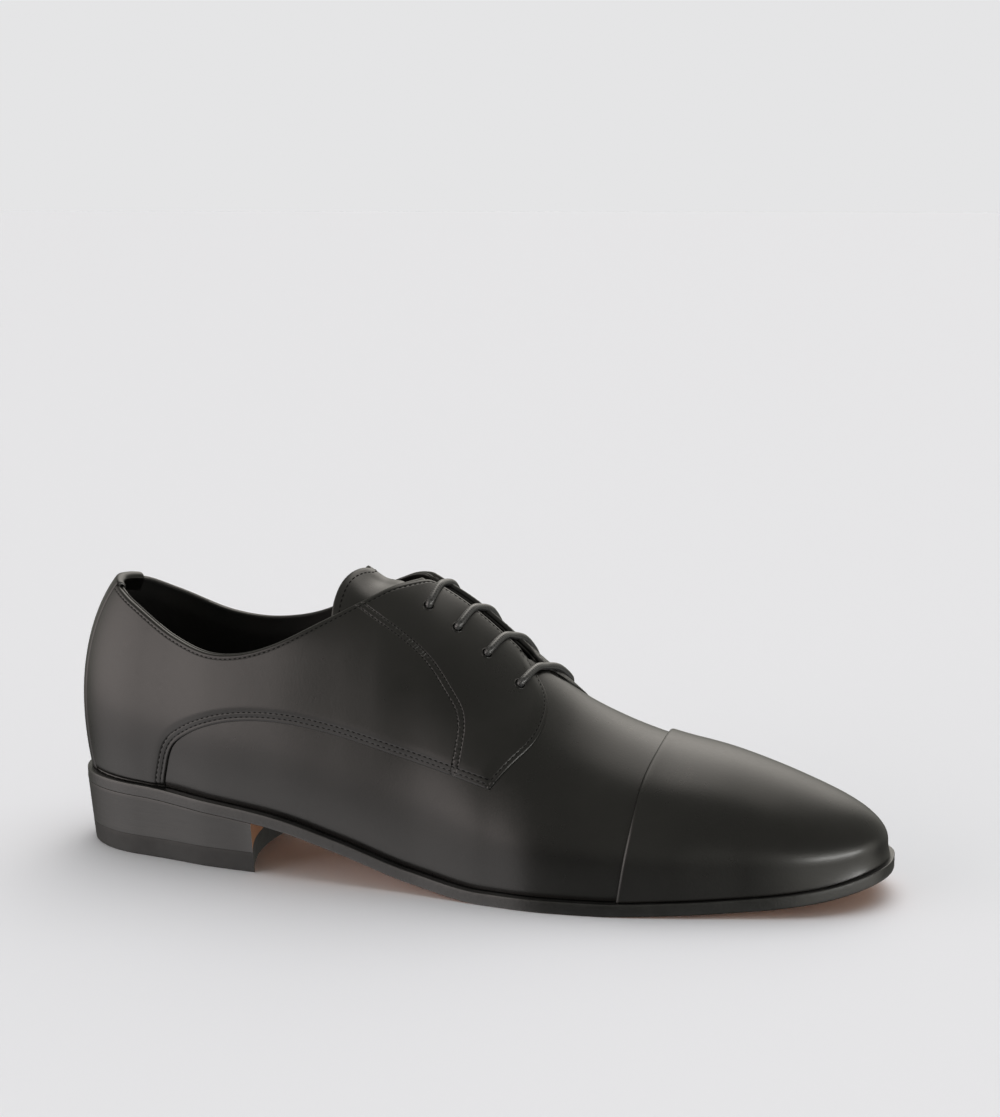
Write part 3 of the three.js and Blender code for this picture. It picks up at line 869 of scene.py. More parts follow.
class Shader(Nodes):
    """The node tree of one material."""

    def __init__(self, name: str) -> None:
        """Starts a material with an output and a principled shader."""
        self.material = bpy.data.materials.new(name)
        self.material.use_nodes = True
        super().__init__(self.material.node_tree)
        self.surface = self.tree.nodes.new("ShaderNodeBsdfPrincipled")
        output = self.tree.nodes.new("ShaderNodeOutputMaterial")
        self.tree.links.new(self.surface.outputs[0], output.inputs["Surface"])

    def set(self, **values: object) -> None:
        """Sets inputs of the principled shader, with underscores for the spaces in their names."""
        for key, value in values.items():
            self.put(self.surface.inputs[key.replace("_", " ")], value)

    def place(self, scale: Sequence[float] = (1.0, 1.0, 1.0)) -> Value:
        """Object coordinates, stretched."""
        where = self.node("ShaderNodeTexCoord", output="Object")
        return self.node("ShaderNodeMapping", {}, {"Vector": where, "Scale": tuple(scale)})

    def noise(self, per_metre: float, detail: float = 2.0, roughness: float = 0.5,
              stretch: Sequence[float] = (1.0, 1.0, 1.0)) -> Value:
        """Cloudy noise from 0 to 1.

        Args:
            per_metre: how fine it is.
            detail: octaves.
            roughness: strength of the finer octaves.
            stretch: scale along each axis.

        Returns:
            The noise.
        """
        values = {"Vector": self.place(stretch), "Scale": per_metre, "Detail": detail,
                  "Roughness": roughness}
        return self.node("ShaderNodeTexNoise", {}, values)

    def cells(self, per_metre: float) -> Value:
        """Distance to the nearest of scattered points."""
        values = {"Vector": self.place(), "Scale": per_metre}
        return self.node("ShaderNodeTexVoronoi", {"feature": "F1"}, values)

    def attribute(self, name: str) -> Value:
        """A number stored on the mesh."""
        return self.node("ShaderNodeAttribute", {"attribute_name": name}, output="Fac")

    def bump(self, height: Value, depth: float, under: Optional[Value] = None) -> Value:
        """A bumped normal.

        Args:
            height: height from 0 to 1.
            depth: its real depth in millimetres.
            under: a normal that it lies on.

        Returns:
            The normal.
        """
        values = {"Height": height, "Distance": depth * MM, "Strength": 1.0}
        if under is not None:
            values["Normal"] = under
        return self.node("ShaderNodeBump", {}, values)


def rgba(red: float, green: float, blue: float) -> tuple:
    """A colour with full alpha."""
    return (red, green, blue, 1.0)


@dataclass(frozen=True)
class CalfFinish:
    """Polished black calf, with fine pores, faint waves and a waxed coat."""

    name: str
    colour: tuple = (0.0052, 0.0048, 0.0045)
    roughness: float = 0.3
    coat: float = 0.25
    coat_roughness: float = 0.13
    grain: float = 0.012
    waves: float = 0.05
    # stored distance, where the row is, half width of its groove
    grooves: tuple = ()
    groove_depth: float = 0.14

    def make(self) -> bpy.types.Material:
        """Builds the material."""
        shader = Shader(self.name)
        cloud = shader.noise(38.0, 3.0)
        fine = shader.noise(420.0, 3.0, 0.6)
        pores = shader.cells(2300.0)
        pebbles = shader.cells(1150.0)
        wave = shader.noise(26.0, 2.0, 0.4, (1.0, 1.0, 1.6))
        dark = rgba(*self.colour)
        light = rgba(*(c * 1.6 for c in self.colour))
        shader.set(
            Base_Color=shader.mix(cloud.band(0.35, 0.7), dark, light),
            Roughness=self.roughness + (fine - 0.5) * 0.10 + (cloud - 0.5) * 0.08,
            Coat_Weight=self.coat * (0.75 + 0.5 * cloud),
            Coat_Roughness=self.coat_roughness,
            Specular_IOR_Level=0.5,
        )
        normal = shader.bump(wave, self.waves)
        normal = shader.bump(pebbles, self.grain, normal)
        normal = shader.bump(pores.band(0.12, 0.3), self.grain * 0.6, normal)
        if self.grooves:
            normal = shader.bump(self.pressed(shader), self.groove_depth, normal)
        shader.set(Normal=normal)
        return shader.material

    def pressed(self, shader: Shader) -> Value:
        """Height of the leather where the rows of stitches press it down, 1 where they don't."""
        height = None
        for name, distance, half in self.grooves:
            row = (shader.attribute(name) - distance).size().band(0.0, half)
            height = row if height is None else height * row
        return height


@dataclass(frozen=True)
class CordFinish:
    """A round cord braided over a core and waxed, its raised strands lightened as a painted
    highlight.
    """

    name: str
    braid: float = 0.09
    strands_along: float = 5.2
    strands_round: float = 4.0

    def make(self) -> bpy.types.Material:
        """Builds the material."""
        shader = Shader(self.name)
        reach, turn = shader.attribute("reach"), shader.attribute("turn")
        along, round_it = reach * self.strands_along, turn * self.strands_round
        one, two = (along + round_it).wave(), (along - round_it).wave()
        weave_and_painted_highlight = one.larger(two) * 0.5 + 0.5
        cloud = shader.noise(600.0)
        # the lighter colour on the raised strands is a painted highlight
        dark, light = rgba(0.010, 0.010, 0.010), rgba(0.042, 0.042, 0.043)
        shader.set(
            Base_Color=shader.mix(weave_and_painted_highlight, dark, light),
            Roughness=0.34 - 0.1 * weave_and_painted_highlight + 0.1 * cloud,
            Coat_Weight=0.7,
            Coat_Roughness=0.2,
            Normal=shader.bump(weave_and_painted_highlight, self.braid),
        )
        return shader.material


@dataclass(frozen=True)
class StackFinish:
    """The heel's stained leather: thin streaked layers, polished most towards the breast, where the
    colour is also lightened as a painted sheen.
    """

    name: str
    # distance from the back, in metres, where the polish and the painted sheen start and are full
    polish_and_painted_sheen: tuple = (0.030, 0.055)

    def make(self) -> bpy.types.Material:
        """Builds the material."""
        shader = Shader(self.name)
        streaks = shader.noise(60.0, 4.0, 0.6, (1.0, 1.0, 26.0))
        fine = shader.noise(500.0, 2.0)
        cloud = shader.noise(45.0, 3.0)
        where = shader.node("ShaderNodeSeparateXYZ", {}, {0: shader.place()})
        # mask of the polished zone; it also lightens the colour below as a painted sheen
        polish_and_painted_sheen = where.band(*self.polish_and_painted_sheen) * (0.55 + 0.45 * streaks)
        dark, light = rgba(0.006, 0.006, 0.006), rgba(0.036, 0.035, 0.035)
        shader.set(
            # the lighter, streaked colour in the polished zone is a painted sheen
            Base_Color=shader.mix(streaks.band(0.35, 0.7) * polish_and_painted_sheen, dark, light),
            Roughness=0.34 + 0.16 * streaks + 0.1 * (cloud - 0.5) - 0.12 * polish_and_painted_sheen,
            Coat_Weight=polish_and_painted_sheen,
            Coat_Roughness=0.2,
            Specular_IOR_Level=0.85,
            Normal=shader.bump(fine, 0.015, shader.bump(streaks, 0.06)),
        )
        return shader.material


@dataclass(frozen=True)
class TanFinish:
    """Natural sole leather, closely grained."""

    name: str

    def make(self) -> bpy.types.Material:
        """Builds the material."""
        shader = Shader(self.name)
        cloud = shader.noise(40.0, 4.0, 0.6)
        fine = shader.noise(900.0, 3.0)
        dark, light = rgba(0.46, 0.20, 0.085), rgba(0.58, 0.28, 0.13)
        shader.set(
            Base_Color=shader.mix(cloud.band(0.3, 0.7), dark, light),
            Roughness=0.5 + 0.15 * (fine - 0.5),
            Normal=shader.bump(fine, 0.02),
        )
        return shader.material


@dataclass(frozen=True)
class PlainFinish:
    """A finish with cloudy colour, roughness and a fine bump."""

    name: str
    colour: tuple
    second: tuple
    roughness: float
    coat: float = 0.0
    per_metre: float = 300.0
    depth: float = 0.02
    stretch: tuple = (1.0, 1.0, 1.0)
    specular: float = 0.5

    def make(self) -> bpy.types.Material:
        """Builds the material."""
        shader = Shader(self.name)
        cloud = shader.noise(self.per_metre * 0.15, 3.0, 0.5, self.stretch)
        fine = shader.noise(self.per_metre, 4.0, 0.6, self.stretch)
        shader.set(
            Base_Color=shader.mix(cloud.band(0.35, 0.65), rgba(*self.colour), rgba(*self.second)),
            Roughness=self.roughness + (fine - 0.5) * 0.2,
            Coat_Weight=self.coat,
            Coat_Roughness=0.2,
            Specular_IOR_Level=self.specular,
            Normal=shader.bump(fine, self.depth),
        )
        return shader.material


# ---------------------------------------------------------------------------------------------
# The upper
# ---------------------------------------------------------------------------------------------


@dataclass(frozen=True)
class Pattern:
    """The lines that the leather is cut along, as shares of the last's sizes."""

    # place, lateral height, medial height
    topline: tuple = (
        (-0.03, 0.925, 0.925), (0.045, 0.930, 0.926), (0.09, 0.877, 0.865), (0.15, 0.785, 0.787),
        (0.20, 0.742, 0.762), (0.24, 0.746, 0.770), (0.28, 0.780, 0.799), (0.34, 0.866, 0.878),
        (0.39, 0.940, 0.945), (0.42, 0.979, 0.979), (0.45, 0.988, 0.988), (0.48, 0.975, 0.975),
        (0.52, 0.935, 0.935),
    )
    # place, height
    quarter_seam: tuple = (
        (0.138, 0.285), (0.152, 0.407), (0.174, 0.460), (0.209, 0.503), (0.248, 0.526),
        (0.300, 0.531), (0.362, 0.509), (0.448, 0.453), (0.560, 0.376), (0.700, 0.270),
    )
    # distance from the middle, lateral place, medial place
    quarter_front: tuple = (
        (0.045, 0.572, 0.598), (0.085, 0.585, 0.612), (0.140, 0.600, 0.624), (0.190, 0.607, 0.628),
        (0.260, 0.609, 0.628), (0.325, 0.605, 0.621), (0.372, 0.596, 0.610), (0.428, 0.574, 0.590),
        (0.475, 0.540, 0.558),
    )
    # lateral place, medial place, distance from the middle
    eyelets: tuple = (
        (0.458, 0.466, 0.163), (0.494, 0.516, 0.178), (0.530, 0.558, 0.190), (0.570, 0.600, 0.203),
    )
    # place, height
    cap_seam: tuple = (
        (0.702, 0.000), (0.712, 0.180), (0.719, 0.310), (0.724, 0.420), (0.734, 0.500),
        (0.745, 0.600),
    )
    # place, distance from the middle
    tongue_edge: tuple = (
        (0.371, 0.000), (0.360, 0.070), (0.351, 0.125), (0.346, 0.180), (0.345, 0.240),
        (0.352, 0.300), (0.375, 0.330), (0.500, 0.295), (0.620, 0.255),
    )
    # place and height of the decorative curve, in millimetres
    curve: tuple = (
        (114.5, 98.1), (122.5, 93.8), (130.9, 89.1), (142.4, 80.3), (150.5, 70.9), (154.8, 64.8),
        (156.0, 60.0), (155.9, 55.4), (154.9, 47.2), (153.5, 42.0),
    )
    throat_gap: float = 8.0
    throat_front: float = 0.56
    throat_back: float = 0.36
    shared_until: float = 0.05

    def topline_line(self, hand: int, count: int = 400) -> Array:
        """The top edge in the side view.

        Args:
            hand: sign of Y.
            count: points wanted.

        Returns:
            Points of place and height in millimetres.
        """
        column = 1 if hand < 0 else 2
        rows = []
        for row in self.topline:
            share = row[column] if row[0] > self.shared_until else (row[1] + row[2]) / 2.0
            rows.append((row[0], share))
        return self.side_line(rows, count)

    def side_line(self, rows: Sequence, count: int = 200) -> Array:
        """A side view line in millimetres."""
        return spline(np.array(rows) * (LAST.sole_length, LAST.instep_height), count)

    def plan_line(self, rows: Sequence, count: int) -> Array:
        """A plan view line in millimetres, of place and distance from the middle."""
        return spline(np.array(rows) * (LAST.sole_length, LAST.ball_width), count)

    def front_line(self, hand: int, count: int = 120) -> Array:
        """The front edge of a quarter in the plan view, from the throat outwards.

        Args:
            hand: sign of Y.
            count: points wanted.

        Returns:
            Points of place and distance from the middle in millimetres.
        """
        column = 1 if hand < 0 else 2
        return self.plan_line([(row[column], row[0]) for row in self.quarter_front], count)


PATTERN = Pattern()


@lru_cache(maxsize=None)
def top_table(hand: int, distance: float) -> tuple:
    """Ribs, closer together round the throat's front, and where the upper ends on each."""
    along = np.concatenate([np.linspace(0.0, 1.0, 1601), np.linspace(0.5, 0.62, 601)])
    along = np.unique(along)
    return along, trace_top(along, hand, distance)


def top_of_rib(along: Array, hand: int, distance: float) -> Array:
    """Chart way from the ridge where the upper ends, read from the table."""
    return np.interp(along, *top_table(hand, distance))


def trace_top(along: Array, hand: int, distance: float) -> Array:
    """Chart way from the ridge where the upper ends: the top edge, the throat or the ridge.

    Args:
        along: ribs.
        hand: sign of Y.
        distance: distance off the last where the edge is measured.

    Returns:
        The unsigned way from the ridge.
    """
    line = PATTERN.topline_line(hand)
    hands = np.full(along.shape, float(hand))

    turns = 22

    def over(across: Array) -> Array:
        """How far a place lies over the top edge."""
        point = LAST.point(along, across, hands) + LAST.normal(along, across, hands) * distance
        limit = np.interp(point[..., 0], line[:, 0], line[:, 1], right=2.0 * LAST.instep_height)
        return point[..., 2] - limit

    def out_by(half: Array) -> Array:
        """Place up each rib at a distance from the middle."""
        return bisect(lambda c: -np.abs(LAST.point(along, c, hands)[..., 1]), -half,
                      LAST.bulge_share, 1.0, turns)

    across = bisect(over, np.zeros(along.shape), 0.0, 1.0, turns)
    half = PATTERN.throat_gap / 2.0
    x = LAST.point(along, out_by(np.full(along.shape, half)), hands)[..., 0]
    past = np.clip((x - PATTERN.throat_front * LAST.sole_length) / half, 0.0, 1.0)
    throat = out_by(half * np.sqrt(1.0 - past ** 2))
    closed = (past >= 1.0) | (x < PATTERN.throat_back * LAST.sole_length)
    return 1.0 - np.minimum(across, np.where(closed, 1.0, throat))


@dataclass
class UpperShell:
    """The lasted upper: the vamp leather outside and the lining inside, one hollow shell."""

    wall: float = 2.2
    edge_wall: float = 1.3
    thinning: float = 9.0
    edge_round: float = 0.6
    close_steps: float = 1.2
    rib_length: float = 80.0
    ribs: int = 220
    steps: int = 84

    def build(self) -> bpy.types.Object:
        """Builds the shell.

        Returns:
            The piece.
        """
        halves = []
        for hand in (-1, 1):
            along = np.linspace(0.0, 1.0, self.ribs + 1)
            top = top_of_rib(along, hand, 0.0)
            lengths = np.full(along.shape, self.rib_length)
            across = (1.0 - top)[:, None] * edge_steps(lengths, self.close_steps, self.steps)
            ribs = np.broadcast_to(along[:, None], across.shape)
            chart = np.stack([ribs, hand * (1.0 - across)], axis=-1)
            middle = LAST.lay(chart, 0.0)
            length = np.linalg.norm(middle - middle[:, -1:], axis=2)
            inset = np.where(top[:, None] > 1e-4, length, FAR)
            thick = soft_step(inset / self.thinning)
            half = (self.edge_wall + (self.wall - self.edge_wall) * thick) / 2.0
            round_off = fold(inset, half, np.minimum(half, self.edge_round))
            faces = [LAST.lay(chart, -half + side * round_off) for side in (-1.0, 1.0)]
            halves.append(grid_stack("upper_half", faces))
        item = join("upper_leather", halves)
        close_up(item, 2e-6, middle=True)
        for hand in Hand:
            cut_holes(item, hand)
        smooth(item)
        return item


@dataclass
class Quarter:
    """One side panel, with its folded edges."""

    hand: Hand
    height: float = 1.6
    base: float = -0.05
    fold_radius: float = 0.85
    least_edge: float = 0.05
    edge_row: float = 1.7
    seam_rows: tuple = (1.6, 3.3)
    skiving: float = 6.0
    edge_height: float = 0.7
    curve_half: float = 1.05
    sewn_in: float = 0.08
    seam_pitch: float = 2.1
    edge_pitch: float = 1.9
    curve_pitch: float = 1.45
    # share of the panel's length that lies behind the seam's foot, below and above
    foot_share: float = 0.28
    foot_split: float = 0.86
    rows_kept_clear: float = 0.93
    grid: tuple = (150, 74)

    def edges(self) -> Panel:
        """The four edges of the panel on the chart."""
        hand = self.hand.value
        front = PATTERN.front_line(hand)
        seam = PATTERN.side_line(PATTERN.quarter_seam)
        front = DRAFT.from_plan(front[:, 0], hand * front[:, 1], self.height)
        seam = DRAFT.from_side(seam[:, 0], seam[:, 1], hand, self.height)
        seam, front = cut_at_crossing(seam, front)
        foot_along = self.foot_along()
        foot = np.stack([np.linspace(0.0, foot_along, 40), np.full(40, float(hand))], axis=-1)
        raised = np.vstack([np.linspace(foot[-1], seam[0], 20)[1:-1], seam])
        along = np.linspace(0.0, 1.0, 400)
        top = np.stack([along, hand * top_of_rib(along, hand, self.height)], axis=-1)
        top = soften(np.vstack([top[along < front[0, 0] - 0.004], front[0]]), 3)
        cut = int(np.searchsorted(top[:, 0], foot_along * self.foot_split))
        bottom = self.in_two(foot, raised)
        top = self.in_two(top[:cut + 1], top[cut:])
        back = np.linspace(bottom[0], top[0], 60)
        return Panel(bottom, top, back, resample_chart(front[::-1], 160))

    def in_two(self, behind: Array, ahead: Array) -> Array:
        """One edge of two chart lines, which meet at the share of the seam's foot.

        Args:
            behind: the line behind the seam's foot.
            ahead: the line that goes on from its end.

        Returns:
            Chart places, at even shares of the panel's length.
        """
        line = np.vstack([resample_chart(behind, 60), resample_chart(ahead, 150)[1:]])
        share = np.concatenate([np.linspace(0.0, self.foot_share, 60),
                                np.linspace(self.foot_share, 1.0, 150)[1:]])
        even = np.linspace(0.0, 1.0, 400)
        return np.stack([np.interp(even, share, column) for column in line.T], axis=1)

    def build(self) -> bpy.types.Object:
        """Builds the panel.

        Returns:
            The piece, with its distances to the sewn lines stored as attributes.
        """
        panel = self.edges()
        chart = panel.grid(*self.grid, self.fold_radius)
        middle = LAST.lay(chart, self.height)
        lines = self.lines(panel)
        flat, shape = middle.reshape(-1, 3), middle.shape[:2]
        near = {key: distance_to(flat, line).reshape(shape) for key, line in lines.items()}
        height = self.height_at(np.minimum(near["seam"], near["front"]))
        edge = np.minimum(np.minimum(near["bottom"], near["front"]), near["top"])
        radius = np.minimum(self.fold_radius, height - self.base - self.least_edge)
        outer = LAST.lay(chart, fold(edge, height, radius))
        inner = LAST.lay(chart, self.base)
        item = grid_stack(f"quarter_{self.hand.name.lower()}_leather", (inner, outer))
        close_up(item, 1e-6)
        cut_holes(item, self.hand)
        points = vertices_of(item)
        lines["curve"] = LAST.lay(self.curve(), self.height)
        for key in ("seam", "top", "front", "curve"):
            write_attribute(item, f"to_{key}", distance_to(points, lines[key]))
        smooth(item)
        return item

    def height_at(self, distance: Array) -> Array:
        """Height of the panel's face at a distance from its thinned edges."""
        rise = self.height - self.edge_height
        return self.edge_height + rise * soft_step(distance / self.skiving)

    def curve(self) -> Array:
        """The decorative curve down the panel, on the chart."""
        return DRAFT.from_side(*spline(PATTERN.curve, 120).T, self.hand.value, self.height)

    def rows(self) -> list:
        """The panel's rows of stitches.

        Returns:
            Chart lines, each with its height and its stitches' pitch.
        """
        panel = self.edges()
        seam, top, front, curve = self.seam(panel), panel.top, panel.front, self.curve()
        # line, distance, height, pitch
        plans = [(seam, d, float(self.height_at(d)), self.seam_pitch) for d in self.seam_rows]
        plans.append((top, self.edge_row, self.height, self.edge_pitch))
        plans.append((front, self.edge_row, float(self.height_at(self.edge_row)), self.edge_pitch))
        for d in (-self.curve_half, self.curve_half):
            plans.append((curve, d, self.height, self.curve_pitch))
        strip_half = BackStrip().top_width / 2.0
        kept = []
        for line, distance, height, pitch in plans:
            row = inset_row(line, distance, self.height)
            laid = LAST.lay(row, self.height)
            clear_of = [(top, self.edge_row), (front, self.edge_row)]
            if line is not seam:
                clear_of.append((seam, max(self.seam_rows)))
            out = np.abs(laid[:, 1])
            keep = (out > 0.5) & ((laid[:, 0] > 30.0) | (out > strip_half))
            for other, gap in clear_of:
                near = distance_to(laid, LAST.lay(other, self.height))
                keep &= near > gap * self.rows_kept_clear
            if keep.sum() > 3:
                kept.append((row[keep], height - self.sewn_in, pitch))
        return kept

    def seam(self, panel: Panel) -> Array:
        """The part of the panel's lower edge that is sewn, from the sole up."""
        return panel.bottom[int(np.argmax(panel.bottom[:, 0] >= self.foot_along())):]

    def foot_along(self) -> float:
        """The rib where the seam leaves the sole."""
        x = PATTERN.quarter_seam[0][0] * LAST.sole_length
        return float(bisect(LAST.foot_x, np.array(x), 0.0, 1.0))

    def lines(self, panel: Panel) -> dict:
        """The panel's edges laid on its outer face.

        Args:
            panel: the panel.

        Returns:
            Points in millimetres by the edge's name.
        """
        edges = {"bottom": panel.bottom, "top": panel.top, "front": panel.front,
                 "seam": self.seam(panel)}
        return {key: LAST.lay(edge, self.height) for key, edge in edges.items()}


def resample_chart(line: Array, count: int) -> Array:
    """The same chart line, and what it carries, with points evenly spaced on the last."""
    laid = LAST.lay(line[:, :2], 0.0)
    steps = np.linalg.norm(np.diff(laid, axis=0), axis=1)
    reach = np.concatenate([[0.0], np.cumsum(steps)])
    at = np.linspace(0.0, reach[-1], count)
    return np.stack([np.interp(at, reach, column) for column in line.T], axis=1)


def soften(line: Array, turns: int) -> Array:
    """Rounds the corners of a line a little, its ends held."""
    line = line.copy()
    for _ in range(turns):
        line[1:-1] = line[1:-1] * 0.5 + (line[:-2] + line[2:]) * 0.25
    return line


def chart_ways(line: Array, height: float) -> tuple:
    """How the laid surface moves with the chart.

    Args:
        line: chart places.
        height: distance off the last.

    Returns:
        Movement in millimetres for each of the two chart ways, and the surface's normals.
    """
    step = 1e-4
    hand = side_of(line[:, 1])
    along = np.clip(line[:, 0], 2.0 * step, 1.0 - 2.0 * step)
    way = np.clip(line[:, 1] + 2.0 * step * hand, -0.999, 0.999)
    inner = np.stack([along, way], axis=1)
    moves = []
    for shift in ((step, 0.0), (0.0, step)):
        move = LAST.lay(inner + shift, height) - LAST.lay(inner - np.array(shift), height)
        moves.append(move / (2.0 * step))
    normal = unit(np.cross(moves[0], moves[1]))
    facing = LAST.normal(along, 1.0 - np.abs(way), hand)
    normal *= np.sign((normal * facing).sum(axis=1, keepdims=True))
    return moves[0], moves[1], normal


def inset_row(line: Array, distance: float, height: float) -> Array:
    """A chart line beside another, on its upper or back side when the distance is positive.

    Args:
        line: chart places.
        distance: how far beside it, in millimetres.
        height: distance off the last at which it is measured.

    Returns:
        Chart places, evenly spaced on the last.
    """
    line = resample_chart(line, 260)
    first, second, normal = chart_ways(line, height)
    laid = LAST.lay(line, height)
    side = np.cross(unit(np.gradient(laid, axis=0)), normal)
    half_way = len(laid) // 2
    upper_back = np.array([105.0, laid[half_way, 1], 70.0])
    if (upper_back - laid[half_way]) @ side[half_way] < 0:
        side = -side
    goal = side * distance
    a, b, c = (first * first).sum(1), (first * second).sum(1), (second * second).sum(1)
    u, v = (first * goal).sum(1), (second * goal).sum(1)
    scale = np.maximum(a * c - b * b, 1e-9)
    return line + np.stack([(u * c - v * b) / scale, (v * a - u * b) / scale], axis=1)


def hole_place(hole: Array, height: float) -> dict:
    """Where a round primitive sits on a lace hole.

    Args:
        hole: chart place of the hole.
        height: height of the primitive's centre off the last.

    Returns:
        Its location and rotation.
    """
    spot = (hole[0], 1.0 - abs(hole[1]), float(side_of(hole[1])))
    turn = Vector(LAST.normal(*spot)).to_track_quat("Z", "Y").to_euler()
    return {"location": in_metres(LAST.off(*spot, height)), "rotation": turn}


def cut_holes(item: bpy.types.Object, hand: Hand) -> None:
    """Cuts the lace holes of one side through a piece.

    Args:
        item: the piece.
        hand: the side.
    """
    lacing = Lacing()
    drills = []
    for hole in lacing.holes(hand.value):
        deselect()
        bpy.ops.mesh.primitive_cylinder_add(
            vertices=28, radius=lacing.hole_radius() * MM, depth=9.0 * MM, **hole_place(hole, 0.0))
        drills.append(bpy.context.object)
    drill = join("hole_drill", drills)
    make_active(item)
    cutter = item.modifiers.new("holes", "BOOLEAN")
    cutter.operation, cutter.object, cutter.solver = "DIFFERENCE", drill, "EXACT"
    bpy.ops.object.modifier_apply(modifier=cutter.name)
    bpy.data.objects.remove(drill)


@dataclass
class Stitching:
    """Rows of short raised stitches."""

    share: float = 0.72
    width: float = 0.55
    proud: float = 0.16

    def build(self, name: str, rows: Sequence[tuple]) -> bpy.types.Object:
        """Builds all the stitches of some rows as one piece.

        Args:
            name: the piece's name.
            rows: chart lines, each with the height that it is sewn at, one number or one for
                each of its points, and its stitches' pitch.

        Returns:
            The piece.
        """
        places, frames = [], []
        for line, height, pitch in rows:
            line = np.column_stack([line, np.broadcast_to(height, len(line))])
            fine = resample_chart(line, 500)
            laid = LAST.lay(fine[:, :2], fine[:, 2])
            total = np.linalg.norm(np.diff(laid, axis=0), axis=1).sum()
            count = max(int(total / pitch), 2)
            line = resample_chart(line, 2 * count + 1)[1::2]
            line, height = line[:, :2], line[:, 2]
            _, _, normal = chart_ways(line, height)
            laid = LAST.lay(line, height)
            way = unit(np.gradient(laid, axis=0))
            places.append(laid)
            frame_ways = [way * (pitch * self.share), np.cross(normal, way), normal]
            frames.append(np.stack(frame_ways, axis=1))
        places, frames = np.concatenate(places), np.concatenate(frames)
        deselect()
        bpy.ops.mesh.primitive_uv_sphere_add(segments=6, ring_count=5, radius=0.5)
        item = bpy.context.object
        item.name = name
        one = coordinates_of(item)[:, [2, 1, 0]] * (1.0, self.width, 2.0 * self.proud)
        faces = [list(f.vertices) for f in item.data.polygons]
        points = places[:, None] + np.einsum("vk,nkx->nvx", one, frames)
        every = [[index + len(one) * k for index in face]
                 for k in range(len(places)) for face in faces]
        item.data = bpy.data.meshes.new(name)
        item.data.from_pydata(in_metres(points.reshape(-1, 3)).tolist(), [], every)
        close_up(item, 1e-9)
        smooth(item, 80.0)
        return item


def cut_at_crossing(first: Array, second: Array) -> tuple:
    """Cuts two chart lines where they cross, and keeps the start of each.

    Args:
        first: a chart line.
        second: another one.

    Returns:
        Both lines, ending at the crossing.
    """
    for i in range(len(first) - 1):
        p, r = first[i], first[i + 1] - first[i]
        for j in range(len(second) - 1):
            q, s = second[j], second[j + 1] - second[j]
            cross = r[0] * s[1] - r[1] * s[0]
            if abs(cross) < 1e-15:
                continue
            gap = q - p
            t = (gap[0] * s[1] - gap[1] * s[0]) / cross
            u = (gap[0] * r[1] - gap[1] * r[0]) / cross
            if 0.0 <= t <= 1.0 and 0.0 <= u <= 1.0:
                corner = p + t * r
                return np.vstack([first[:i + 1], corner]), np.vstack([second[:j + 1], corner])
    return first, second


@dataclass
class ToeCap:
    """The cap over the toe, with its folded back edge."""

    height: float = 1.6
    base: float = -0.05
    fold_radius: float = 0.9
    length: float = 90.0
    ribs: int = 181
    steps: int = 84
    # shares of the way from heel to toe between which the seam is sought
    seam_between: tuple = (0.4, 0.95)

    def seam_along(self, way: Array) -> Array:
        """The rib at the cap's seam for each way from the ridge.

        Args:
            way: signed ways from the ridge.

        Returns:
            Ribs.
        """
        line = PATTERN.side_line(PATTERN.cap_seam)

        def past(along: Array) -> Array:
            """How far a rib lies past the seam."""
            point = LAST.lay(np.stack([along, way], axis=-1), self.height)
            return point[..., 0] - np.interp(point[..., 2], line[:, 1], line[:, 0])

        return bisect(past, np.zeros(way.shape), *self.seam_between, 24)

    def build(self) -> bpy.types.Object:
        """Builds the cap.

        Returns:
            The piece.
        """
        way = np.linspace(-1.0, 1.0, self.ribs)
        start = self.seam_along(way)
        share = edge_steps(np.full(way.shape, self.length), self.fold_radius, self.steps)
        along = start[:, None] + (1.0 - start)[:, None] * share
        along[:, -1] = 1.0
        chart = np.stack([along, np.broadcast_to(way[:, None], along.shape)], axis=-1)
        middle = LAST.lay(chart, self.height)
        inset = np.linalg.norm(middle - middle[:, :1], axis=2)
        outer = LAST.lay(chart, fold(inset, self.height, self.fold_radius))
        inner = LAST.lay(chart, self.base)
        item = grid_stack("toe_cap_leather", (inner, outer))
        close_up(item, 2e-6, middle=True)
        smooth(item)
        return item


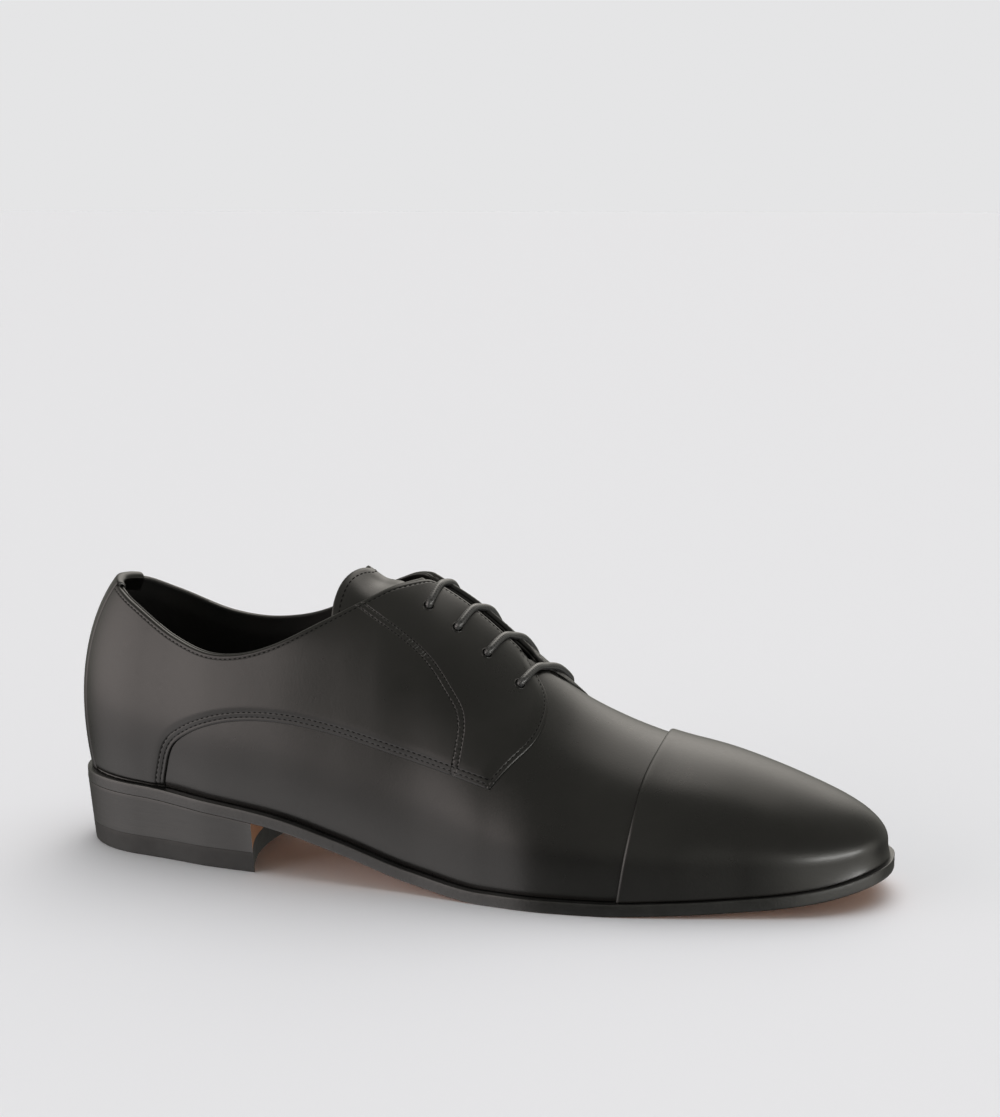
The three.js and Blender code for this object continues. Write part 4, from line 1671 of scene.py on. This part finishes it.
@dataclass
class BackStrip:
    """The strip up the back seam, folded over the top edge."""

    top_width: float = 19.0
    foot_width: float = 30.0
    height: float = 2.0
    base: float = 0.2
    fold_radius: float = 0.8
    inner_height: float = 1.9
    inner_base: float = 1.2
    inside_depth: float = 8.0
    over: float = 0.55
    start_rib: float = 0.04
    levels: int = 80
    inside_levels: int = 12
    turn_steps: int = 11

    def half_at(self, z: Array) -> Array:
        """Half width at a height, narrowing towards the top."""
        top = PATTERN.topline[0][1] * LAST.instep_height
        turn = 1.5 - np.sqrt(np.maximum(2.25 - 2.0 * np.clip(z / top, 0.0, 1.0), 0.25))
        return (self.foot_width + (self.top_width - self.foot_width) * turn ** 2) / 2.0

    def build(self) -> bpy.types.Object:
        """Builds the strip.

        Returns:
            The piece.
        """
        share = edge_steps(np.array(28.0), self.fold_radius, 28)
        levels = np.linspace(0.0, 1.0, self.levels)
        depth = self.inside_depth * np.linspace(0.0, 1.0, self.inside_levels)[1:]
        turn = np.linspace(0.0, np.pi, self.turn_steps)[1:-1, None]
        step = 0.01
        outer, inner = [], []
        for s in share * 2.0 - 1.0:
            hand = -1.0 if s < 0 else 1.0
            rib, up = self.rib_places(levels, abs(s), hand)
            edge = fold((1.0 - abs(s)) * self.half_at(80.0), self.height, self.fold_radius)
            top = LAST.point(rib[-1], up[-1], hand)
            climb = top - LAST.point(rib[-1], up[-1] - step, hand)
            normal, rise = LAST.normal(rib[-1], up[-1], hand), unit(climb)
            down = up[-1] - depth * step / np.linalg.norm(climb)
            for rows, out, back in ((outer, float(edge), -self.inner_height),
                                    (inner, self.base, -self.inner_base)):
                centre, reach = (out + back) / 2.0, (out - back) / 2.0
                arc = (top + normal * (centre + reach * np.cos(turn))
                       + rise * (self.over * np.sin(turn) * reach))
                outside = LAST.off(rib, up, hand, np.full(up.shape, out))
                inside = LAST.off(rib[-1], down, hand, np.full(down.shape, back))
                rows.append(np.vstack([outside, arc, inside]))
        item = grid_stack("back_strip_leather", (np.array(inner), np.array(outer)))
        close_up(item, 1e-6)
        smooth(item)
        return item

    def rib_places(self, levels: Array, share: float, hand: float) -> tuple:
        """Places up one line of the strip.

        Args:
            levels: shares of the way up.
            share: share of the half width.
            hand: sign of Y.

        Returns:
            Ribs, and places up them.
        """
        rib = np.full(levels.shape, self.start_rib)
        for _ in range(6):
            up = levels * (1.0 - top_of_rib(rib, int(hand), 0.0))
            goal = share * self.half_at(LAST.point(rib, up, hand)[..., 2])
            rib = bisect(lambda a: np.abs(LAST.point(a, up, hand)[..., 1]), goal, 0.0, 0.3, 22)
        return rib, up


@dataclass
class Tongue:
    """The flap under the lacing, which sinks behind its free end."""

    depth: float = 2.5
    thickness: float = 1.8
    fold_radius: float = 0.85
    sunk: float = 4.6
    # where the flap starts to sink, and over what way, along it, across it and back up
    sinks: tuple = (107.0, 13.0)
    rises_out: tuple = (6.0, 16.0)
    rises_ahead: tuple = (150.0, 30.0)
    edge_row: float = 3.0
    pitch: float = 2.1

    def edge(self) -> Array:
        """The edge of its outer half in the plan view, from the middle of its free end."""
        return PATTERN.plan_line(PATTERN.tongue_edge, 240)

    def rows(self) -> list:
        """The row of stitches along its free end."""
        edge = self.edge()
        way = unit(np.gradient(edge, axis=0))
        inside = edge + self.edge_row * np.stack([way[:, 1], -way[:, 0]], axis=1)
        inside = inside[2:int(np.argmax(edge[:, 1]))]
        out = inside[:, 1]
        inside = inside[(out > 0.3) & (out < edge[:, 1].max() - self.edge_row)]
        x, y = np.vstack([inside[::-1] * (1.0, -1.0), inside]).T
        return [(DRAFT.from_plan(x, y), -self.depth - self.sink(x, y), self.pitch)]

    def sink(self, x: Array, y: Array) -> Array:
        """How far the flap lies below its usual depth at a place in plan."""
        down, out, ahead = ((at - start) / way for at, (start, way) in (
            (x, self.sinks), (np.abs(y), self.rises_out), (x, self.rises_ahead)))
        lying = (1.0 - soft_step(out)) * (1.0 - np.clip(ahead, 0.0, 1.0))
        return self.sunk * soft_step(down) * lying

    def build(self) -> bpy.types.Object:
        """Builds the flap.

        Returns:
            The piece.
        """
        edge = self.edge()
        corner = int(np.argmax(edge[:, 1]))
        free, side = resample(edge[:corner + 1], 200), resample(edge[corner:], 200)
        half = edge_steps(np.array(60.0), 1.0, 30)
        share = np.concatenate([-half[::-1], half[1:]])[:, None]
        size = np.abs(share)
        t = edge_steps(np.array(80.0), 1.0, 64)
        at = np.linspace(0.0, 1.0, 200)
        free_x, free_y = (np.interp(size, at, column) for column in free.T)
        side_x, side_y = (np.interp(t, at, column) for column in side.T)
        middle_x = free[0, 0] + (side[-1, 0] - free[0, 0]) * t
        bend_x = free_x - (free[0, 0] * (1.0 - size) + side_x[0] * size)
        bend_y = free_y - side_y[0] * size
        x = middle_x * (1.0 - size) + side_x * size + bend_x * (1.0 - t)
        y = (side_y * size + bend_y * (1.0 - t)) * np.sign(share)
        chart = DRAFT.from_plan(x, y)
        depth = self.depth + self.sink(x, y)
        middle = LAST.lay(chart, -depth)
        near = np.min([np.linalg.norm(middle - line, axis=2)
                       for line in (middle[:1], middle[-1:], middle[:, :1])], axis=0)
        half_wall = fold(near, self.thickness / 2.0, self.fold_radius)
        centre = -depth - self.thickness / 2.0
        faces = (LAST.lay(chart, centre - half_wall), LAST.lay(chart, centre + half_wall))
        item = grid_stack("tongue_leather", faces)
        close_up(item, 1e-6)
        smooth(item)
        return item


# ---------------------------------------------------------------------------------------------
# The bottom
# ---------------------------------------------------------------------------------------------


@dataclass
class Slab:
    """A slab with the sole's outline, from the heel to a breast or to the toe."""

    name: str
    end: float = 1.0
    hollow: float = 0.0
    ribs: int = 240
    columns: int = 26

    def outline(self, inset: float) -> Array:
        """The outline, moved inwards.

        Args:
            inset: distance inwards in millimetres.

        Returns:
            Lateral and medial points, 2 by ribs by 2.
        """
        place = LAST.station(np.linspace(0.0, 1.0, self.ribs + 1)) * self.end
        sides = []
        for hand in (-1.0, 1.0):
            step = np.minimum(1e-3, np.minimum(place, 1.0 - place) / 2.0)
            way = unit(self.edge(place + step, hand) - self.edge(place - step, hand))
            inwards = hand * np.stack([way[:, 1], -way[:, 0]], axis=1)
            moved = self.edge(place, hand) + inset * inwards
            moved[0] = (inset, 0.0)
            if self.end >= 1.0:
                moved[-1] = (LAST.sole_length - inset, 0.0)
            sides.append(moved)
        return np.array(sides)

    def edge(self, place: Array, hand: float) -> Array:
        """Points of one side's edge."""
        x = LAST.sole_length * place
        return np.stack([x, hand * LAST.half_width(x, np.full(place.shape, hand))], axis=1)

    def layer(self, inset: float, height: Callable[[Array], Array]) -> Array:
        """One layer of points.

        Args:
            inset: distance inwards in millimetres.
            height: takes places along the sole and gives the height.

        Returns:
            Points, ribs by columns by 3.
        """
        lateral, medial = self.outline(inset)
        share = np.linspace(0.0, 1.0, self.columns + 1)[None, :, None]
        flat = lateral[:, None] * (1.0 - share) + medial[:, None] * share
        if self.hollow:
            bow = 1.0 - (2.0 * share[..., 0] - 1.0) ** 2
            near = np.clip(flat[..., 0] / (self.end * LAST.sole_length), 0.0, 1.0) ** 2
            flat[..., 0] -= self.hollow * bow * near
        return np.concatenate([flat, height(flat[..., 0])[..., None]], axis=2)

    def build(self, layers: Sequence[tuple]) -> bpy.types.Object:
        """Builds the slab.

        Args:
            layers: inset and height of each layer, from the bottom up.

        Returns:
            The piece.
        """
        item = grid_stack(self.name, [self.layer(inset, height) for inset, height in layers])
        close_up(item, 2e-6)
        smooth(item, 35.0)
        return item


def rounded(bottom: Callable, top: Callable, inset: Callable, radius: float, steps: int = 4,
            rise: int = 3, upper: Optional[float] = None) -> list[tuple]:
    """Layers of a slab with rounded edges.

    Args:
        bottom: height of its lower face.
        top: height of its upper face.
        inset: inset at a share of the height.
        radius: radius of its edges.
        steps: steps round each edge.
        rise: steps between the edges.
        upper: radius of its upper edge, where that differs.

    Returns:
        Inset and height of each layer.
    """
    layers = []
    upper = radius if upper is None else upper
    for turn in np.linspace(0.0, np.pi / 2.0, steps + 1):
        back, up = radius * (1.0 - math.sin(turn)), radius * (1.0 - math.cos(turn))
        layers.append((inset(0.0) + back, lambda x, up=up: bottom(x) + up))
    for share in np.linspace(0.0, 1.0, rise + 1)[1:-1]:
        layers.append((inset(share), lambda x, s=share: bottom(x) * (1.0 - s) + top(x) * s))
    for turn in np.linspace(np.pi / 2.0, 0.0, steps + 1):
        back, down = upper * (1.0 - math.sin(turn)), upper * (1.0 - math.cos(turn))
        layers.append((inset(1.0) + back, lambda x, down=down: top(x) - down))
    return layers


@dataclass
class Bottom:
    """The sole, the heel and the footbed."""

    edge_round: float = 0.4
    heel_seat_inset: float = 0.1
    joint: float = 0.05
    heel_taper: float = 2.2
    top_piece: float = 7.6
    breast: float = 78.0
    breast_hollow: float = 7.0
    rubber_round: float = 0.5
    footbed_round: float = 0.8
    footbed: float = 2.6
    footbed_inset: float = 7.0

    def heel_inset(self, z: float) -> float:
        """How far the heel is in from the sole's edge at a height."""
        return self.heel_seat_inset + self.heel_taper * (1.0 - z / LAST.heel_height)

    def outsole(self) -> bpy.types.Object:
        """Builds the sole."""
        layers = rounded(LAST.underside, LAST.sole_top, lambda share: 0.0, self.edge_round)
        return Slab("outsole_leather").build(layers)

    def heel_slab(self, name: str) -> Slab:
        """A slab with the heel's outline and hollow breast."""
        return Slab(name, self.breast / LAST.sole_length, self.breast_hollow, 120)

    def heel_stack(self) -> bpy.types.Object:
        """Builds the leather block of the heel."""
        low = self.top_piece + self.joint
        layers = rounded(
            lambda x: np.full(x.shape, low), lambda x: LAST.underside(x) - self.joint,
            lambda share: self.heel_inset(low + (LAST.heel_height - low) * share),
            self.joint, 2, 10)
        return self.heel_slab("heel_stack_leather").build(layers)

    def heel_top(self) -> bpy.types.Object:
        """Builds the rubber piece under the heel."""
        layers = rounded(
            lambda x: np.zeros(x.shape), lambda x: np.full(x.shape, self.top_piece),
            lambda share: self.heel_inset(self.top_piece * share),
            self.rubber_round, 3, 3, self.joint)
        return self.heel_slab("heel_rubber").build(layers)

    def footbed_piece(self) -> bpy.types.Object:
        """Builds the footbed."""
        low = LAST.clearance
        layers = rounded(
            lambda x: LAST.sole_top(x) + low, lambda x: LAST.sole_top(x) + low + self.footbed,
            lambda share: self.footbed_inset, self.footbed_round)
        return Slab("footbed_leather").build(layers)


# ---------------------------------------------------------------------------------------------
# The lacing
# ---------------------------------------------------------------------------------------------


def tube(name: str, path: Array, radius: Array, sides: int = 16) -> bpy.types.Object:
    """A round tube along a path.

    Args:
        name: the piece's name.
        path: points in millimetres.
        radius: radius at each point.
        sides: sides of the tube.

    Returns:
        The object, with turn and reach stored as attributes.
    """
    way = unit(np.gradient(path, axis=0))
    side = np.zeros_like(path)
    side[0] = unit(np.cross(way[0], (1.0, 0.0, 0.0)))
    for k in range(1, len(path)):
        side[k] = unit(side[k - 1] - way[k] * (side[k - 1] @ way[k]))
    other = np.cross(way, side)
    turn = (np.arange(sides) * 2.0 * np.pi / sides)[None, :, None]
    ring = np.cos(turn) * side[:, None] + np.sin(turn) * other[:, None]
    points = path[:, None] + ring * np.asarray(radius)[:, None, None]
    deselect()
    bpy.ops.mesh.primitive_circle_add(vertices=sides, radius=1.0, fill_type="NGON")
    item = extruded(name, len(path) - 1)
    flat = coordinates_of(item)
    level = np.rint(flat[:, 2]).astype(int)
    spot = np.rint(np.arctan2(flat[:, 1], flat[:, 0]) / (2.0 * np.pi) * sides).astype(int) % sides
    item.data.vertices.foreach_set("co", in_metres(points[level, spot]).ravel())
    steps = np.linalg.norm(np.diff(path, axis=0), axis=1)
    reach = np.concatenate([[0.0], np.cumsum(steps)])
    up = unit(np.array([0.0, 0.0, 1.0]) - way * way[:, 2:])
    turned = np.arctan2((ring * np.cross(way, up)[:, None]).sum(2), (ring * up[:, None]).sum(2))
    write_attribute(item, "reach", reach[level])
    write_attribute(item, "turn", turned[level, spot])
    close_up(item)
    smooth(item)
    return item


@dataclass
class Lacing:
    """The four crossings of the round waxed lace."""

    diameter: float = 2.8
    over_panel: float = 1.3
    bend: float = 2.0
    middle: float = 0.55
    end_depth: float = -1.98
    hole_clearance: float = 0.4
    panel_height: float = 1.6
    pressed: float = 0.75
    pressed_far: float = 0.5
    taut: float = 1.5
    rim: float = 0.3
    rim_out: float = 0.12

    def hole_radius(self) -> float:
        """Radius of a hole."""
        return self.diameter / 2.0 + self.hole_clearance

    def holes(self, hand: int) -> Array:
        """Chart places of the holes on one side."""
        column = 0 if hand < 0 else 1
        rows = [(e[column] * LAST.sole_length, hand * e[2] * LAST.ball_width)
                for e in PATTERN.eyelets]
        return DRAFT.from_plan(*np.array(rows).T)

    def path(self, lateral: Array, medial: Array) -> Array:
        """The way of one crossing.

        Args:
            lateral: chart place of the hole towards the camera.
            medial: chart place of the other one.

        Returns:
            Points in millimetres.
        """
        height = 2.0 * LAST.clearance + self.over_panel + self.diameter / 2.0 - self.pressed
        ridge = (lateral[0] + medial[0]) / 2.0
        corner = self.bend * (1.0 - math.sqrt(0.5))
        halves = []
        for hole, sunk in ((lateral, 0.0), (medial, self.pressed_far)):
            hand, across = float(side_of(hole[1])), 1.0 - abs(hole[1])
            centre, normal = LAST.point(hole[0], across, hand), LAST.normal(hole[0], across, hand)
            inner = LAST.off(hole[0] + (ridge - hole[0]) * self.middle,
                             across + (1.0 - across) * self.middle, hand, height - sunk)
            way = inner - (centre + normal * height)
            way = unit(way - normal * (way @ normal))
            outs_and_ups = ((0.0, self.end_depth), (0.0, 0.0), (0.0, height - self.bend),
                            (corner, height - corner), (self.bend, height))
            halves.append([centre + way * out + normal * up for out, up in outs_and_ups] + [inner])
        top = LAST.off(ridge, 1.0, 1.0, height - self.taut)
        return spline(halves[0] + [top] + halves[1][::-1], 70)

    def rims(self) -> bpy.types.Object:
        """Builds the pressed rims round the holes."""
        rims = []
        for hole in np.concatenate([self.holes(-1), self.holes(1)]):
            deselect()
            bpy.ops.mesh.primitive_torus_add(
                major_radius=(self.hole_radius() + self.rim_out) * MM, minor_radius=self.rim * MM,
                major_segments=36, minor_segments=10,
                **hole_place(hole, self.panel_height - self.rim_out))
            rims.append(bpy.context.object)
        item = join("hole_rims", rims)
        bpy.ops.object.transform_apply(location=True, rotation=True, scale=True)
        smooth(item, 80.0)
        return item

    def build(self) -> list[bpy.types.Object]:
        """Builds the four crossings."""
        pieces = []
        for number, holes in enumerate(zip(self.holes(-1), self.holes(1)), 1):
            path = self.path(*holes)
            radius = np.full(len(path), self.diameter / 2.0)
            pieces.append(tube(f"lace_crossing_{number}", path, radius))
        return pieces


# ---------------------------------------------------------------------------------------------
# Light and camera
# ---------------------------------------------------------------------------------------------


@dataclass
class Studio:
    """The pale floor, the soft lights and the camera at the photo's angle."""

    azimuth: float = math.radians(14.63)
    elevation: float = math.radians(10.16)
    distance: float = 0.7097
    target: tuple = (0.12094, 0.0, 0.11184)
    lens: float = 64.48
    pale: tuple = (0.783, 0.783, 0.79)
    # strength and tint of the light that each way brings
    room: tuple = (0.24, (1.01, 1.0, 0.89))
    under: tuple = (0.25, (1.0, 1.0, 0.95))
    window: tuple = (0.9, (1.13, 0.97, 0.91))
    window_foot: tuple = (0.9, (1.05, 0.99, 0.98))
    table: tuple = (0.85, (1.03, 1.0, 0.91))
    strip: tuple = (1.6, (1.05, 0.99, 0.92))
    lamp: tuple = (9.0, (1.0, 1.0, 0.98))
    floor_tone: tuple = (0.805, 0.822, 0.88)
    sun_power: float = 1.22
    sun_way: tuple = (0.1, 0.25, 1.0)
    sun_angle: float = math.radians(70.0)
    floor_size: float = 80.0

    def camera(self) -> None:
        """Places the camera."""
        level = math.cos(self.elevation)
        back = Vector((math.sin(self.azimuth) * level, -math.cos(self.azimuth) * level,
                       math.sin(self.elevation)))
        data = bpy.data.cameras.new("photo_camera")
        data.lens = self.lens
        data.clip_start = 0.01
        camera = bpy.data.objects.new("photo_camera", data)
        camera.location = Vector(self.target) + back * self.distance
        camera.rotation_euler = back.to_track_quat("Z", "Y").to_euler()
        bpy.context.scene.collection.objects.link(camera)
        bpy.context.scene.camera = camera

    def floor(self) -> None:
        """Builds the pale floor."""
        deselect()
        bpy.ops.mesh.primitive_plane_add(size=self.floor_size, location=(0.0, 0.0, 0.0))
        floor = bpy.context.object
        floor.name = "pale_floor"
        shader = Shader("pale_floor")
        shader.set(Base_Color=rgba(*self.floor_tone), Roughness=0.9, Specular_IOR_Level=0.1)
        floor.data.materials.append(shader.material)
        floor.visible_glossy = False

    def world(self) -> None:
        """Fills the room with soft light, set by the way that it comes from."""
        world = bpy.data.worlds.new("pale_room")
        world.use_nodes = True
        nodes = Nodes(world.node_tree)
        way = nodes.node("ShaderNodeTexCoord", output="Generated")
        parts = nodes.node("ShaderNodeSeparateXYZ", {}, {0: way}).socket.node
        x, y, up = (Value(nodes, output) for output in parts.outputs)
        level = (1.0 - up * up).larger(0.01) ** 0.5
        right, front = x / level, 0.0 - y / level
        window = right.band(-0.36, -0.52) * front.band(-0.6, 0.6) * up.band(0.58, 0.42)
        table = right.band(0.3, 0.75) * front.band(-0.6, -0.1)
        lamp = (up + 0.01).size().band(0.10, 0.02) * right.band(0.55, 0.85)
        lights = (
            (self.room, up.band(-0.45, 0.05) + 0.15),
            (self.window, window * up.band(-0.24, -0.14)),
            (self.window_foot, window),
            (self.under, up.band(-0.3, -0.42) * up.band(-0.75, -0.6)),
            (self.table, table * up.band(0.3, 0.12) * up.band(-0.6, -0.35)),
            (self.strip, x.size().band(0.48, 0.03) * y.band(-0.15, 0.3) * up.band(-0.1, 0.65)),
            (self.lamp, lamp * front.band(-0.1, 0.2)),
        )
        channels = {}
        for k in range(3):
            for (strength, tint), share in lights:
                part = share * (strength * tint[k])
                channels[k] = channels[k] + part if k in channels else part
        lit = nodes.node("ShaderNodeCombineColor", {}, channels)
        seen = nodes.node("ShaderNodeLightPath", output="Is Camera Ray")
        colour = nodes.mix(seen, lit, rgba(*self.pale))
        background = nodes.node("ShaderNodeBackground", {}, {"Color": colour})
        output = nodes.tree.nodes.new("ShaderNodeOutputWorld")
        nodes.tree.links.new(background.socket, output.inputs["Surface"])
        bpy.context.scene.world = world

    def sun(self) -> None:
        """Adds the broad light that brings the floor to the backdrop's brightness."""
        data = bpy.data.lights.new("broad_light", "SUN")
        data.energy, data.angle = self.sun_power, self.sun_angle
        light = bpy.data.objects.new("broad_light", data)
        light.rotation_euler = Vector(self.sun_way).to_track_quat("Z", "Y").to_euler()
        light.visible_glossy = False
        bpy.context.scene.collection.objects.link(light)

    def build(self) -> None:
        """Sets the whole studio."""
        bpy.context.scene.view_settings.view_transform = "Standard"
        self.camera()
        self.floor()
        self.world()
        self.sun()


# ---------------------------------------------------------------------------------------------
# The whole shoe
# ---------------------------------------------------------------------------------------------


def dress_faces(item: bpy.types.Object, material: bpy.types.Material, chosen: Callable) -> None:
    """Gives some faces a second finish.

    Args:
        item: a piece that has its first finish.
        material: the second finish.
        chosen: takes a face and says whether it gets it.
    """
    item.data.materials.append(material)
    for face in item.data.polygons:
        if chosen(face):
            face.material_index = len(item.data.materials) - 1


def fit_out(item: bpy.types.Object, material: bpy.types.Material, slot: str, *nodes: str) -> None:
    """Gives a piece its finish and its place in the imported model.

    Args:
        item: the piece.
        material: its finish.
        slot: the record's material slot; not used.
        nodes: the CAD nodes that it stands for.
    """
    if not item.data.materials:
        item.data.materials.append(material)
    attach(item, "root")
    if nodes:
        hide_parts(*nodes)
    LOG.info("%s: %d faces", item.name, len(item.data.polygons))


def faces_inwards(face: bpy.types.MeshPolygon) -> bool:
    """Whether a face of the hollow upper looks towards the foot."""
    x = face.center.x
    foot = Vector((x if 0.0 < x < 0.2 else 0.1, 0.0, 0.04))
    return face.normal.dot(foot - face.center) > 0.0


def sewn_finish() -> CalfFinish:
    """The quarters' calf, pressed down along their rows of stitches."""
    rows = [("to_top", Quarter.edge_row, 0.55), ("to_front", Quarter.edge_row, 0.55),
            ("to_curve", Quarter.curve_half, 0.45)]
    rows += [("to_seam", distance, 0.55) for distance in Quarter.seam_rows]
    return CalfFinish("black_calf_sewn", grooves=tuple(rows))


EDGE = PlainFinish("black_edge", (0.005, 0.005, 0.005), (0.012, 0.012, 0.012), 0.34,
                   coat=0.6, per_metre=900.0, depth=0.12)
RUBBER = PlainFinish("black_rubber", (0.007, 0.007, 0.007), (0.012, 0.012, 0.012), 0.5)
LINING = PlainFinish("black_lining", (0.006, 0.006, 0.006), (0.011, 0.010, 0.010), 0.6)
THREAD = PlainFinish("black_thread", (0.003, 0.003, 0.003), (0.007, 0.007, 0.007), 0.75,
                     per_metre=3000.0, depth=0.03, specular=0.12)


@dataclass
class Shoe:
    """The pieces of the shoe, each fitted out when it is built."""

    calf: bpy.types.Material
    lining: bpy.types.Material

    def leathers(self) -> None:
        """Builds the upper, its panels and the tongue."""
        upper = UpperShell().build()
        fit_out(upper, self.calf, "upper", "upper")
        dress_faces(upper, self.lining, faces_inwards)
        sewn_calf = sewn_finish().make()
        for hand in Hand:
            node = f"quarter_{hand.name.lower()}"
            fit_out(Quarter(hand).build(), sewn_calf, "quarters", node)
        fit_out(ToeCap().build(), self.calf, "toe_cap", "toe_cap")
        fit_out(BackStrip().build(), self.calf, "back_strip", "back_strip")
        fit_out(Tongue().build(), self.calf, "tongue", "tongue")

    def bottom(self) -> None:
        """Builds the sole, the heel and the footbed."""
        bottom, tan = Bottom(), TanFinish("tan_leather").make()
        outsole = bottom.outsole()
        fit_out(outsole, EDGE.make(), "outsole", "outsole")
        dress_faces(outsole, tan, lambda face: face.normal.z < -0.9)
        heel = bottom.heel_stack()
        fit_out(heel, StackFinish("stained_stack").make(), "heel_stack", "heel_stack")
        dress_faces(heel, tan, lambda face: face.normal.x > 0.6 and abs(face.normal.z) < 0.3)
        fit_out(bottom.heel_top(), RUBBER.make(), "heel_top_piece", "heel_top_piece")
        fit_out(bottom.footbed_piece(), self.lining, "insole", "insole")

    def lacing(self) -> None:
        """Builds the lace's crossings and the rims of its holes."""
        lacing, cord = Lacing(), CordFinish("waxed_lace").make()
        for number, piece in enumerate(lacing.build(), 1):
            fit_out(piece, cord, "lace", f"lace_bar_{number}")
        fit_out(lacing.rims(), self.calf, "quarters")

    def stitches(self) -> None:
        """Sews the quarters and the tongue."""
        thread, stitching = THREAD.make(), Stitching()
        for hand in Hand:
            rows = Quarter(hand).rows()
            piece = stitching.build(f"stitches_{hand.name.lower()}", rows)
            fit_out(piece, thread, "quarters")
        fit_out(stitching.build("stitches_tongue", Tongue().rows()), thread, "tongue")


def main() -> None:
    """Builds the shoe, its light and its camera, and reports each piece."""
    logging.basicConfig(level=logging.INFO, format="%(name)s: %(message)s", stream=sys.stdout)
    Studio().build()
    shoe = Shoe(CalfFinish("black_calf").make(), LINING.make())
    shoe.leathers()
    shoe.bottom()
    shoe.lacing()
    shoe.stitches()


if __name__ == "__main__":
    main()
